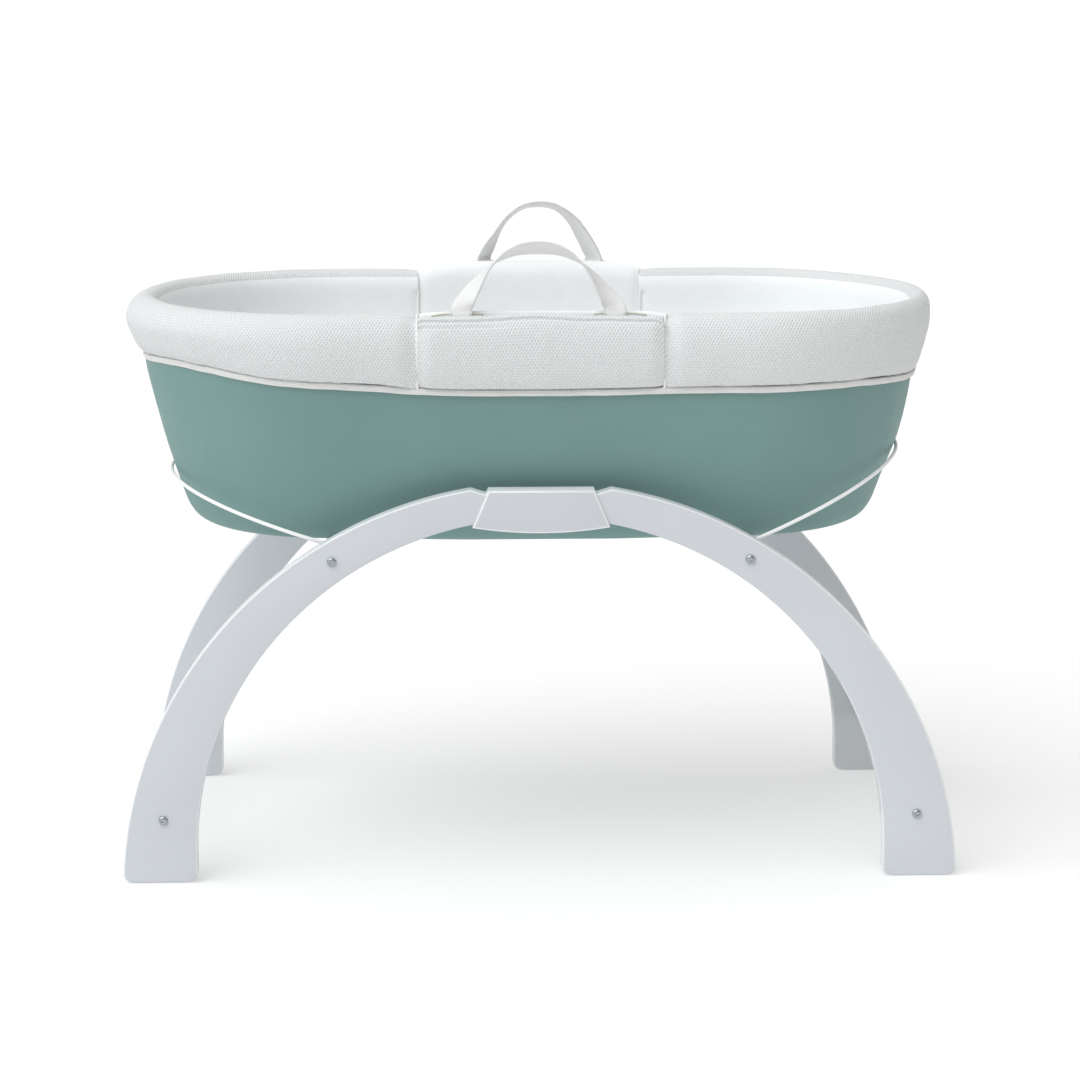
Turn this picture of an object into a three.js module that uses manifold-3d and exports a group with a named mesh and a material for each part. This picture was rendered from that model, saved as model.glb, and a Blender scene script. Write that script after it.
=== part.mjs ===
// Moses basket with two carrying straps, resting on a bolted stand of two arches.
// Millimetres. X runs along the basket, -Y is the front, +Z is up.
// The origin is on the floor under the middle of the stand.
import * as THREE from "three";
import { mergeVertices } from "three/addons/utils/BufferGeometryUtils.js";
import Module from "manifold-3d";

const wasm = await Module();
wasm.setup();

// ---- Driving dimensions ----------------------------------------------------------------

const GAP = 0.3; // left between pieces that touch

// Arch boards: a round outer edge, and an oval inner edge that runs straight into the feet.
const ARCH_R = 402;
const ARCH_CENTRE_Z = -14.5;
const ARCH_INNER_HALF_SPAN = 330;
const ARCH_INNER_RISE = 325;
const ARCH_INNER_Z = 30;
const BOARD_T = 18;
const BOARD_FACE_Y = 200; // outer face of each arch, from the mid-plane
const BOARD_INNER_Y = BOARD_FACE_Y - BOARD_T;
const BOARD_MID_Y = BOARD_FACE_Y - BOARD_T / 2;
const BOARD_EDGE = 1.3; // eased edge
const FOOT_R = 9;
const FOOT_Z = 0.8; // the board stands this far off the floor, on its pad
const LEG_SHOULDER_X = 66.5; // where a leg's round edge steps down towards the bridge

// Foot pads, let into the boards
const PAD_L = 48;
const PAD_W = 11;
const PAD_H = 2.7;
const PAD_X = (ARCH_INNER_HALF_SPAN + ARCH_R) / 2;

// Bridge: the sleeve that joins a left leg to a right leg at the crown of the arch.
const BRIDGE_TOP_Z = 381.4;
const BRIDGE_TOP_HALF = 50;
const BRIDGE_LOW_Z = 346;
const BRIDGE_LOW_HALF = 65;
const BRIDGE_BULGE_Z = 340.7;
const BRIDGE_T = 24;
const BRIDGE_EDGE = 1.6;
const TONGUE_TOP_Z = 378; // the leg inside the bridge
const TONGUE_LOW_Z = 350.5;
const TONGUE_STEP_X = 54;
const TONGUE_END_X = 0.4;

// Cross rails and their fasteners
const UPPER_RAIL = { x: 198, z: 314 };
const LOWER_RAIL = { x: 362, z: 62.6 };
const RAIL_R = 8;
const RAIL_BORE_R = 5;
const INSERT_R = RAIL_BORE_R - GAP;
const INSERT_BORE_R = 3.2;
const INSERT_L = 15;
const BOLT_R = 2.9;
const BOLT_L = 33;
const BOLT_HEAD_R = 4.9;
const BOLT_HEAD_H = 2.8;
const BOLT_HEX_R = 1.9;
const BRIDGE_SCREW = { x: 27, z: 366 };
const SCREW_R = 2;
const SCREW_L = 14;
const SCREW_HEAD_R = 3.8;
const SCREW_HEAD_H = 2.2;
const SCREW_HEX_R = 1.3;

// Wire hoops that keep the basket from sliding along the rails
const WIRE_R = 2;
const HOOP_Y = 172;
// Where each hoop's middle lies. The right one is bent up further than the left one.
const HOOP_END = { left: { x: 361.5, z: 376 }, right: { x: 365.9, z: 392 } };
const HOOP_RAIL_Z = UPPER_RAIL.z + RAIL_R + WIRE_R + GAP;
const HOOP_ROUNDNESS = 2.2; // 2 is an ellipse, more is squarer
const HOOP_PIN_X = 180;
const HOOP_PIN_Z = 319;
const HOOP_PIN_DEPTH = 9;

// Basket shell. Its plan at every height is two half circles joined by straight sides.
const SIDE_HALF = 195.5; // half of the straight side
const SHELL_T = 4;
const SHELL_SIDE = [
  [123, 322.3],
  [133.5, 323.8],
  [143, 329.5],
  [149.8, 339],
  [155, 352],
  [164, 380],
  [171.5, 405],
  [178, 434],
  [182.5, 460],
  [186.5, 495],
  [189.5, 535],
]; // half-width and height, from the flat bottom up to the rim
const SHELL_BOTTOM_Z = SHELL_SIDE[0][1];
const RIM_Z = SHELL_SIDE.at(-1)[1];
const END_STEPS = 14; // facets round each half circle

// Liner: padded mesh fabric over the rim, in two end pieces and two centre panels.
const SEAM_X = 116;
const HEM_Z = 469.5;
const HEM_H = 7.5;
const SKIRT_Z = HEM_Z + HEM_H + GAP;
const LINER_FLOOR_Z = 331.4;
const LINER_LOW_Z = 346;
const LINER_WALL = 8;
const CROWN_Z = 547;
const FABRIC_CLEAR = 0.8;
const PANEL_CLEAR = 4.6; // room behind the centre panels for the strap tails and rivets

// Mattress and the board under it
const BOARD_Z = 326.8;
const BASE_BOARD_T = 3.5;
const MATTRESS_Z = 333.4;
const MATTRESS_H = 40;

// Carrying straps
const STRAP_W = 21;
const STRAP_T = 2;
const TAIL_LOW_Z = 484;
const RIVET_Z = 497;
const RIVET_R = 2;
const STRAP_STEPS = 20;
// Half of a strap's arch, from its slot to its top: share of the half span, share of the height
const STRAP_ARCH = [
  [1, 0],
  [0.83, 0.34],
  [0.6, 0.71],
  [0.31, 0.94],
  [0, 1],
];
const HANDLES = [
  {
    name: "front_handle",
    side: -1,
    slotZ: 551.5,
    leftX: -75,
    rightX: 69,
    apexZ: 605,
    lean: 9,
    tilt: 48,
    turn: [0, 180],
  },
  {
    name: "rear_handle",
    side: 1,
    slotZ: 557,
    leftX: -47,
    rightX: 68,
    apexZ: 610,
    lean: 5,
    tilt: 10,
    turn: [40, 160],
  },
];
const STRAP_Y = 191.3;
const FOLD_CLEAR = 1.7; // strap left out on each side of its fold

// ---- Materials -------------------------------------------------------------------------

function finish(color, roughness, metalness = 0) {
  return { color, roughness, metalness };
}
const LACQUER = finish(0xd6dadd, 0.42);
const MOULDED_WHITE = finish(0xd2d6d9, 0.4);
const WHITE_STEEL = finish(0xe8eaea, 0.35, 0.1);
const STEEL = finish(0x9a9fa3, 0.3, 1);
const BRASS = finish(0xb8964e, 0.35, 1);
const RUBBER = finish(0x8c8f90, 0.85);
const SAGE = finish(0x75958f, 0.6);
const MESH_FABRIC = finish(0xeceae6, 0.95);
const BINDING = finish(0xe4e2dd, 0.9);
const WEBBING = finish(0xe6e4df, 0.85);
const FIBREBOARD = finish(0xb39b78, 0.8);
const TICKING = finish(0xf2f0ea, 0.95);

// ---- Geometry helpers ------------------------------------------------------------------

// A closed geometry as a manifold-3d solid, turned right side out.
function toSolid(geometry) {
  const bare = new THREE.BufferGeometry();
  bare.setAttribute("position", geometry.getAttribute("position"));
  bare.setIndex(geometry.getIndex());
  const merged = mergeVertices(bare, 1e-4);
  return new wasm.Manifold(
    new wasm.Mesh({
      numProp: 3,
      vertProperties: merged.getAttribute("position").array,
      triVerts: new Uint32Array(merged.getIndex().array),
    }),
  );
}

function toGeometry(solid) {
  const mesh = solid.getMesh();
  const geometry = new THREE.BufferGeometry();
  geometry.setAttribute(
    "position",
    new THREE.BufferAttribute(mesh.vertProperties, 3),
  );
  geometry.setIndex(new THREE.BufferAttribute(mesh.triVerts, 1));
  const flat = geometry.toNonIndexed();
  flat.computeVertexNormals();
  return flat;
}

function cut(geometry, ...tools) {
  const start = toSolid(geometry);
  return toGeometry(
    tools.reduce((left, tool) => left.subtract(toSolid(tool)), start),
  );
}

function signedVolume(points, index) {
  let sum = 0;
  for (let i = 0; i < index.length; i += 3) {
    const [a, b, c] = [0, 1, 2].map((k) => points[index[i + k]]);
    sum += a.dot(b.clone().cross(c));
  }
  return sum;
}

// Skin over a row of closed outlines with equal numbers of points. With an outline2d it gets
// end caps, and without one the last outline joins the first.
function loft(outlines, outline2d) {
  const n = outlines[0].length;
  const points = outlines.flat();
  const index = [];
  const rows = outline2d ? outlines.length - 1 : outlines.length;
  for (let r = 0; r < rows; r++) {
    const a = r * n;
    const b = ((r + 1) % outlines.length) * n;
    for (let i = 0; i < n; i++) {
      const j = (i + 1) % n;
      index.push(a + i, a + j, b + j, a + i, b + j, b + i);
    }
  }
  if (outline2d) {
    const last = points.length - n;
    for (const [i, j, k] of THREE.ShapeUtils.triangulateShape(outline2d, [])) {
      const forward = THREE.ShapeUtils.area(outline2d) > 0;
      const [p, q] = forward ? [j, k] : [k, j];
      index.push(i, q, p);
      index.push(last + i, last + p, last + q);
    }
  }
  if (signedVolume(points, index) < 0) index.reverse();
  const geometry = new THREE.BufferGeometry().setFromPoints(points);
  geometry.setIndex(index);
  const flat = geometry.toNonIndexed();
  flat.computeVertexNormals();
  return flat;
}

// A plate cut from a shape drawn in X and Z, standing between two Y planes.
function upright(shape, lowY, highY, bevel = 0, curveSegments = 16) {
  const geometry = new THREE.ExtrudeGeometry(shape, {
    depth: highY - lowY - 2 * bevel,
    bevelEnabled: bevel > 0,
    bevelThickness: bevel,
    bevelSize: bevel,
    bevelOffset: -bevel,
    bevelSegments: 1,
    curveSegments,
  });
  return geometry.rotateX(Math.PI / 2).translate(0, highY - bevel, 0);
}

// A round bar along Y.
function barY(radius, x, lowY, highY, z, sides = 24) {
  const bar = new THREE.CylinderGeometry(radius, radius, highY - lowY, sides);
  return bar.translate(x, (lowY + highY) / 2, z);
}

// A turned piece: its profile is in radius and distance along Y.
function turnedY(profile, x, z, sides = 24) {
  const points = profile.map(([r, y]) => new THREE.Vector2(r, y));
  return new THREE.LatheGeometry(points, sides).translate(x, 0, z);
}

// ---- The basket's plan and side shape --------------------------------------------------

const SIDE_CURVE = new THREE.SplineCurve(
  SHELL_SIDE.map(([w, z]) => new THREE.Vector2(w, z)),
).getPoints(14);

// The shell's outer half-width at a height.
function shellAt(z) {
  const above = SIDE_CURVE.findIndex((p) => p.y > z);
  if (above < 0) return SIDE_CURVE.at(-1).x;
  if (above === 0) return SIDE_CURVE[0].x;
  const [low, high] = [SIDE_CURVE[above - 1], SIDE_CURVE[above]];
  return low.x + ((high.x - low.x) * (z - low.y)) / (high.y - low.y);
}

// A level outline of the plan, at one half-width and height.
function planRing(halfWidth, z) {
  const ring = [];
  for (const side of [1, -1]) {
    for (let i = 0; i <= END_STEPS; i++) {
      const angle = Math.PI * (i / END_STEPS - 0.5);
      const x = side * (SIDE_HALF + halfWidth * Math.cos(angle));
      ring.push(new THREE.Vector3(x, side * halfWidth * Math.sin(angle), z));
    }
  }
  return ring;
}

// Level outlines stacked into a solid.
function stack(profile) {
  const rings = profile.map(([w, z]) => planRing(w, z));
  const cap = rings[0].map((p) => new THREE.Vector2(p.x, p.y));
  return loft(rings, cap);
}

// A section in half-width and height, stood up at one place along the plan.
function station(section, centreX, angle) {
  return section.map(
    ([w, z]) =>
      new THREE.Vector3(
        centreX + w * Math.cos(angle),
        w * Math.sin(angle),
        z,
      ),
  );
}

// ---- Stand -----------------------------------------------------------------------------

function innerArchZ(x) {
  const share = x / ARCH_INNER_HALF_SPAN;
  return ARCH_INNER_Z + ARCH_INNER_RISE * Math.sqrt(1 - share * share);
}

function outerArchZ(x) {
  return ARCH_CENTRE_Z + Math.sqrt(ARCH_R * ARCH_R - x * x);
}

// The right leg's outline, from its tongue round the inner edge, the foot and the outer edge.
function legShape() {
  const shape = new THREE.Shape();
  const rise = (TONGUE_LOW_Z - ARCH_INNER_Z) / ARCH_INNER_RISE;
  const cornerZ = FOOT_Z + FOOT_R;
  const outerX = Math.sqrt(ARCH_R ** 2 - (cornerZ - ARCH_CENTRE_Z) ** 2);
  const footAngle = Math.asin((cornerZ - ARCH_CENTRE_Z) / ARCH_R);
  const shoulderAngle = Math.acos(LEG_SHOULDER_X / ARCH_R);
  shape.moveTo(TONGUE_END_X, TONGUE_LOW_Z);
  shape.absellipse(
    0,
    ARCH_INNER_Z,
    ARCH_INNER_HALF_SPAN,
    ARCH_INNER_RISE,
    Math.asin(rise),
    0,
    true,
  );
  shape.absarc(
    ARCH_INNER_HALF_SPAN + FOOT_R,
    cornerZ,
    FOOT_R,
    Math.PI,
    1.5 * Math.PI,
    false,
  );
  shape.absarc(outerX - FOOT_R, cornerZ, FOOT_R, 1.5 * Math.PI, 2 * Math.PI, false);
  shape.absarc(0, ARCH_CENTRE_Z, ARCH_R, footAngle, shoulderAngle, false);
  shape.lineTo(TONGUE_STEP_X, TONGUE_TOP_Z);
  shape.lineTo(TONGUE_END_X, TONGUE_TOP_Z);
  shape.closePath();
  return shape;
}

function legGeometry() {
  const board = upright(legShape(), -BOARD_FACE_Y, -BOARD_INNER_Y, BOARD_EDGE, 9);
  const boltHole = ({ x, z }) =>
    barY(BOLT_R + GAP, x, -BOARD_FACE_Y - 1, -BOARD_INNER_Y + 1, z, 12);
  const wireHole = barY(
    WIRE_R + 2 * GAP,
    HOOP_PIN_X,
    -BOARD_INNER_Y - HOOP_PIN_DEPTH - 1,
    -BOARD_INNER_Y + 1,
    HOOP_PIN_Z,
    10,
  );
  const screwHole = barY(
    SCREW_R + GAP,
    BRIDGE_SCREW.x,
    -BRIDGE_T / 2 - BOARD_MID_Y,
    -BOARD_INNER_Y + 1,
    BRIDGE_SCREW.z,
    10,
  );
  const recess = new THREE.BoxGeometry(
    PAD_L + 2 * GAP,
    PAD_W + 2 * GAP,
    2 * (PAD_H + GAP),
  ).translate(PAD_X, -BOARD_MID_Y, 0);
  return cut(
    board,
    boltHole(UPPER_RAIL),
    boltHole(LOWER_RAIL),
    wireHole,
    screwHole,
    recess,
  );
}

function padGeometry() {
  const pad = new THREE.BoxGeometry(PAD_L, PAD_W, PAD_H);
  return pad.translate(PAD_X, -BOARD_MID_Y, PAD_H / 2);
}

// The sleeve over both tongues: a trapezium with a bowed lower edge.
function bridgeGeometry() {
  const outside = new THREE.Shape();
  outside.moveTo(BRIDGE_TOP_HALF, BRIDGE_TOP_Z);
  outside.lineTo(-BRIDGE_TOP_HALF, BRIDGE_TOP_Z);
  outside.lineTo(-BRIDGE_LOW_HALF, BRIDGE_LOW_Z);
  outside.quadraticCurveTo(
    0,
    2 * BRIDGE_BULGE_Z - BRIDGE_LOW_Z,
    BRIDGE_LOW_HALF,
    BRIDGE_LOW_Z,
  );
  outside.closePath();
  const inside = new THREE.Shape();
  const slotTop = TONGUE_TOP_Z + GAP;
  const slotLow = TONGUE_LOW_Z - GAP;
  const mouthX = LEG_SHOULDER_X + 10;
  const mouthTop = outerArchZ(LEG_SHOULDER_X) + 5;
  const mouthLow = innerArchZ(mouthX) - 1;
  const middle = BOARD_MID_Y;
  inside.moveTo(TONGUE_STEP_X, slotTop);
  inside.lineTo(-TONGUE_STEP_X, slotTop);
  inside.lineTo(-mouthX, mouthTop);
  inside.lineTo(-mouthX, mouthLow);
  inside.lineTo(-TONGUE_STEP_X, slotLow);
  inside.lineTo(TONGUE_STEP_X, slotLow);
  inside.lineTo(mouthX, mouthLow);
  inside.lineTo(mouthX, mouthTop);
  inside.closePath();
  const slotHalf = BOARD_T / 2 + GAP;
  const block = upright(
    outside,
    -middle - BRIDGE_T / 2,
    -middle + BRIDGE_T / 2,
    BRIDGE_EDGE,
    16,
  );
  const slot = upright(inside, -middle - slotHalf, -middle + slotHalf);
  const holes = [-1, 1].map((side) =>
    barY(
      SCREW_R + GAP,
      side * BRIDGE_SCREW.x,
      -middle,
      -middle + BRIDGE_T,
      BRIDGE_SCREW.z,
      10,
    ),
  );
  return cut(block, slot, ...holes);
}

function railGeometry({ x, z }) {
  const half = BOARD_INNER_Y - GAP;
  const wall = [
    [RAIL_BORE_R, -half],
    [RAIL_R, -half],
    [RAIL_R, half],
    [RAIL_BORE_R, half],
    [RAIL_BORE_R, -half],
  ];
  return turnedY(wall, x, z, 20);
}

function insertGeometry({ x, z }) {
  const outer = -BOARD_INNER_Y + 2 * GAP;
  const inner = outer + INSERT_L;
  const wall = [
    [INSERT_BORE_R, outer],
    [INSERT_R, outer],
    [INSERT_R, inner],
    [INSERT_BORE_R, inner],
    [INSERT_BORE_R, outer],
  ];
  return turnedY(wall, x, z, 12);
}

// A button-head screw along Y with a hexagon socket. faceY is under the head, and outward is
// the way that the head points.
function screwGeometry({ x, z }, faceY, outward, headR, headH, shankR, length, hexR) {
  const at = (distance) => faceY + outward * distance;
  const profile = [
    [0, at(-length)],
    [shankR - 0.5, at(-length)],
    [shankR, at(0.5 - length)],
    [shankR, at(GAP)],
    [headR, at(GAP)],
    [headR, at(GAP + 0.25 * headH)],
    [0.88 * headR, at(GAP + 0.65 * headH)],
    [0.6 * headR, at(GAP + 0.92 * headH)],
    [0, at(GAP + headH)],
  ];
  if (outward < 0) profile.reverse();
  const socket = barY(
    hexR,
    x,
    Math.min(at(0.5 * headH), at(2 * headH)),
    Math.max(at(0.5 * headH), at(2 * headH)),
    z,
    6,
  );
  return cut(turnedY(profile, x, z, 12), socket);
}

function railBoltGeometry(rail) {
  return screwGeometry(
    rail,
    -BOARD_FACE_Y,
    -1,
    BOLT_HEAD_R,
    BOLT_HEAD_H,
    BOLT_R,
    BOLT_L,
    BOLT_HEX_R,
  );
}

function bridgeScrewGeometry() {
  return screwGeometry(
    BRIDGE_SCREW,
    -BOARD_MID_Y + BRIDGE_T / 2,
    1,
    SCREW_HEAD_R,
    SCREW_HEAD_H,
    SCREW_R,
    SCREW_L,
    SCREW_HEX_R,
  );
}

// A hoop, drawn at the right end: pinned in the front board, over the upper rail, round the basket's end on a
// rising plane, and back to the rear board.
function hoopGeometry(end) {
  const half = [];
  const boardY = BOARD_INNER_Y;
  const rise = (end.z - HOOP_RAIL_Z) / (end.x - UPPER_RAIL.x);
  half.push([HOOP_PIN_X, boardY + HOOP_PIN_DEPTH, HOOP_PIN_Z]);
  half.push([HOOP_PIN_X, boardY - 2, HOOP_PIN_Z]);
  half.push([HOOP_PIN_X + 1.6, boardY - 7, HOOP_PIN_Z + 0.5]);
  half.push([HOOP_PIN_X + 7, HOOP_Y + 0.4, HOOP_PIN_Z + 2.3]);
  const steps = 13;
  for (let i = 0; i <= steps; i++) {
    const angle = (Math.PI / 2) * (1 - i / steps);
    const along = Math.cos(angle) ** (2 / HOOP_ROUNDNESS);
    const across = Math.sin(angle) ** (2 / HOOP_ROUNDNESS);
    const reach = (end.x - UPPER_RAIL.x) * along;
    half.push([UPPER_RAIL.x + reach, HOOP_Y * across, HOOP_RAIL_Z + rise * reach]);
  }
  const front = half.map(([x, y, z]) => new THREE.Vector3(x, -y, z));
  const rear = half
    .slice(0, -1)
    .reverse()
    .map(([x, y, z]) => new THREE.Vector3(x, y, z));
  const path = new THREE.CatmullRomCurve3([...front, ...rear], false, "centripetal");
  const section = new THREE.Shape();
  section.absarc(0, 0, WIRE_R, 0, 2 * Math.PI, false);
  return new THREE.ExtrudeGeometry(section, {
    steps: 50,
    curveSegments: 4,
    extrudePath: path,
  });
}

// ---- Basket ----------------------------------------------------------------------------

function rivetHole(side, x) {
  const y = side * shellAt(RIVET_Z);
  return barY(RIVET_R + GAP, x, y - 20, y + 20, RIVET_Z, 10);
}

function shellGeometry() {
  const outside = SIDE_CURVE.map((p) => [p.x, p.y]);
  const inside = SIDE_CURVE.map((p, i) => {
    const before = SIDE_CURVE[Math.max(i - 1, 0)];
    const after = SIDE_CURVE[Math.min(i + 1, SIDE_CURVE.length - 1)];
    const run = after.clone().sub(before).normalize();
    return [p.x - SHELL_T * run.y, p.y + SHELL_T * run.x];
  });
  inside[inside.length - 1][1] = RIM_Z;
  inside.reverse();
  const holes = HANDLES.flatMap(({ side, leftX, rightX }) =>
    [leftX, rightX].map((x) => rivetHole(side, x)),
  );
  return cut(stack([...outside, ...inside]), ...holes);
}

function baseBoardGeometry() {
  const half = SHELL_SIDE[0][0] - 3;
  return stack([
    [half, BOARD_Z],
    [half, BOARD_Z + BASE_BOARD_T],
  ]);
}

function linerFloorGeometry() {
  const half = shellAt(LINER_FLOOR_Z) - SHELL_T - 7;
  return stack([
    [half, LINER_FLOOR_Z],
    [half, LINER_FLOOR_Z + 1.6],
  ]);
}

function mattressGeometry() {
  const low = MATTRESS_Z;
  const top = MATTRESS_Z + MATTRESS_H;
  return stack([
    [118, low],
    [127, low + 3],
    [132, low + 10],
    [139, top - 12],
    [137, top - 4],
    [128, top],
  ]);
}

// The liner's section outside the shell's rim, from the skirt's lower edge over the crown.
const ROLL_OUTSIDE = [
  [193.2, SKIRT_Z],
  [197.6, 488],
  [201.8, 502],
  [203.8, 517],
  [202.6, 530],
  [198.2, 540.5],
  [191.5, 546],
];
const ROLL_INSIDE = [
  [186, CROWN_Z],
  [179.5, 544],
  [175, 537],
  [173.6, 526],
];

// Inner wall, crown and skirt in one section: an upside-down J over the rim.
function endSection() {
  const wallHeights = [500, 460, 420, 380, LINER_LOW_Z];
  const skirtInside = [SKIRT_Z, 505, RIM_Z + FABRIC_CLEAR].map((z) => [
    shellAt(z) + FABRIC_CLEAR,
    z,
  ]);
  const wallOutside = [RIM_Z + FABRIC_CLEAR, ...wallHeights].map((z) => [
    shellAt(z) - SHELL_T - FABRIC_CLEAR,
    z,
  ]);
  const wallInside = wallHeights
    .map((z) => [shellAt(z) - SHELL_T - FABRIC_CLEAR - LINER_WALL, z])
    .reverse();
  return [
    ...skirtInside,
    ...wallOutside,
    ...wallInside,
    ...[...ROLL_INSIDE].reverse(),
    ...[...ROLL_OUTSIDE].reverse(),
  ];
}

// The right end piece, sewn to the centre panels at the two seams.
function linerEndGeometry() {
  const section = endSection();
  const outlines = [station(section, SEAM_X + GAP / 2, -Math.PI / 2)];
  for (let i = 0; i <= END_STEPS; i++) {
    const angle = Math.PI * (i / END_STEPS - 0.5);
    outlines.push(station(section, SIDE_HALF, angle));
  }
  outlines.push(station(section, SEAM_X + GAP / 2, Math.PI / 2));
  return loft(outlines, section.map(([w, z]) => new THREE.Vector2(w, z)));
}

// A section in half-width and height, run straight between the two seams.
function betweenSeams(section, side) {
  const half = SEAM_X - GAP / 2;
  const angle = (side * Math.PI) / 2;
  const outlines = [-half, half].map((x) => station(section, x, angle));
  return loft(outlines, section.map(([w, z]) => new THREE.Vector2(w, z)));
}

// Inner half of a centre panel: the wall and the crown inside the strap slots.
function innerPanelSection(crownZ) {
  const wallHeights = [500, 460, 420, 380, LINER_LOW_Z];
  const behind = 3.2;
  const outside = [RIM_Z + FABRIC_CLEAR, ...wallHeights].map((z) => [
    shellAt(z) - SHELL_T - behind,
    z,
  ]);
  const inside = wallHeights
    .map((z) => [shellAt(z) - SHELL_T - FABRIC_CLEAR - LINER_WALL, z])
    .reverse();
  return [
    [189.4, RIM_Z + FABRIC_CLEAR],
    ...outside,
    ...inside,
    [173.6, 526],
    [174.6, crownZ - 9],
    [179, crownZ - 2.5],
    [184.5, crownZ],
    [189.4, crownZ - 0.8],
  ];
}

// Outer half of a centre panel: the flap that covers the strap tails.
function outerPanelSection(crownZ) {
  const inside = [SKIRT_Z + 1.5, 505, RIM_Z].map((z) => [
    shellAt(z) + PANEL_CLEAR,
    z,
  ]);
  return [
    ...inside,
    [193.6, crownZ - 1.5],
    [195.6, crownZ],
    [199.6, crownZ - 2.2],
    [203.4, crownZ - 9],
    [205.2, 524],
    [203.6, 506],
    [199, 490],
    [195.2, SKIRT_Z + 1.5],
  ];
}

// The elastic binding that pulls the skirt in under the panels, all the way round.
function hemGeometry() {
  const low = shellAt(HEM_Z) + FABRIC_CLEAR;
  const high = shellAt(HEM_Z + HEM_H) + FABRIC_CLEAR;
  const section = [
    [low, HEM_Z],
    [low + 6.5, HEM_Z + 0.6],
    [low + 8.6, HEM_Z + 3],
    [low + 8.8, HEM_Z + HEM_H - 1.5],
    [high + 7.4, HEM_Z + HEM_H],
    [high, HEM_Z + HEM_H],
  ];
  const outlines = [];
  for (const side of [1, -1]) {
    for (let i = 0; i <= END_STEPS; i++) {
      const angle = Math.PI * (i / END_STEPS - (side > 0 ? 0.5 : -0.5));
      outlines.push(station(section, side * SIDE_HALF, angle));
    }
  }
  return loft(outlines);
}

// ---- Straps ----------------------------------------------------------------------------

// The fixed end of a strap, riveted to the shell behind the centre panel.
function tailGeometry(side, x, topZ) {
  const heights = [TAIL_LOW_Z, 505, 522, RIM_Z];
  const face = heights.map((z) => [shellAt(z) + 0.4, z]);
  face.push([STRAP_Y - STRAP_T / 2, topZ]);
  const back = face.map(([w, z]) => [w + STRAP_T, z]).reverse();
  const section = [...face, ...back];
  const half = STRAP_W / 2;
  const outlines = [-half, half].map((dx) =>
    station(section, x + dx, (side * Math.PI) / 2),
  );
  const strap = loft(outlines, section.map(([w, z]) => new THREE.Vector2(w, z)));
  return cut(strap, rivetHole(side, x));
}

function rivetGeometry(side, x) {
  const shell = shellAt(RIVET_Z);
  const outerFace = shell + 0.4 + STRAP_T + 1;
  const innerFace = shell - SHELL_T - 0.6;
  const profile = [
    [0, innerFace - 1.6],
    [3, innerFace - 1.6],
    [3.8, innerFace - 0.8],
    [3.8, innerFace],
    [RIVET_R, innerFace],
    [RIVET_R, outerFace - 0.4],
    [4.2, outerFace - 0.4],
    [3.4, outerFace + 0.7],
    [0, outerFace + 0.9],
  ].map(([r, y]) => [r, side * y]);
  if (side < 0) profile.reverse();
  return turnedY(profile, x, RIVET_Z, 10);
}

// A strap's free arch. Flat against the basket at both slots, it turns edge-on in each limb
// and lies across the arch at the top.
function handleGeometry({ side, slotZ, leftX, rightX, apexZ, lean, tilt, turn }) {
  const baseZ = slotZ + FOLD_CLEAR;
  const middleX = (leftX + rightX) / 2;
  const halfSpan = (rightX - leftX) / 2;
  const tiltAngle = THREE.MathUtils.degToRad(tilt);
  const place = (reach, height) =>
    new THREE.Vector3(
      middleX + halfSpan * reach,
      side * (STRAP_Y - lean * height),
      baseZ + (apexZ - baseZ) * height,
    );
  const left = STRAP_ARCH.map(([reach, height]) => place(-reach, height));
  const right = STRAP_ARCH.slice(0, -1).map(([reach, height]) => place(reach, height));
  const path = new THREE.CatmullRomCurve3([...left, ...right.reverse()], false, "centripetal");
  const outlines = [];
  for (let i = 0; i <= STRAP_STEPS; i++) {
    const u = i / STRAP_STEPS;
    const turned = THREE.MathUtils.degToRad(turn[0] + (turn[1] - turn[0]) * u);
    const level = i === 0 || i === STRAP_STEPS;
    const along = level ? new THREE.Vector3(0, 0, i ? -1 : 1) : path.getTangentAt(u);
    const across = new THREE.Vector3(
      Math.cos(turned),
      side * Math.cos(tiltAngle) * Math.sin(turned),
      Math.sin(tiltAngle) * Math.sin(turned),
    );
    across.addScaledVector(along, -across.dot(along)).normalize();
    const through = across.clone().cross(along).multiplyScalar(STRAP_T / 2);
    across.multiplyScalar(STRAP_W / 2);
    const middle = path.getPointAt(u);
    outlines.push([
      middle.clone().add(across).add(through),
      middle.clone().add(across).sub(through),
      middle.clone().sub(across).sub(through),
      middle.clone().sub(across).add(through),
    ]);
  }
  const corners = [
    [1, 1],
    [1, -1],
    [-1, -1],
    [-1, 1],
  ].map(([x, y]) => new THREE.Vector2(x, y));
  return loft(outlines, corners);
}

// ---- Assembly --------------------------------------------------------------------------

const basketOnStand = new THREE.Group();

function add(parent, name, geometry, look) {
  const mesh = new THREE.Mesh(geometry, new THREE.MeshStandardMaterial(look));
  mesh.name = name;
  parent.add(mesh);
}

function mirrored(xSign, ySign) {
  const group = new THREE.Group();
  group.scale.set(xSign, ySign, 1);
  basketOnStand.add(group);
  return group;
}

const SIDES = { left: -1, right: 1 };
const FACES = { front: 1, rear: -1 };
const RAILS = { upper: UPPER_RAIL, lower: LOWER_RAIL };

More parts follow.
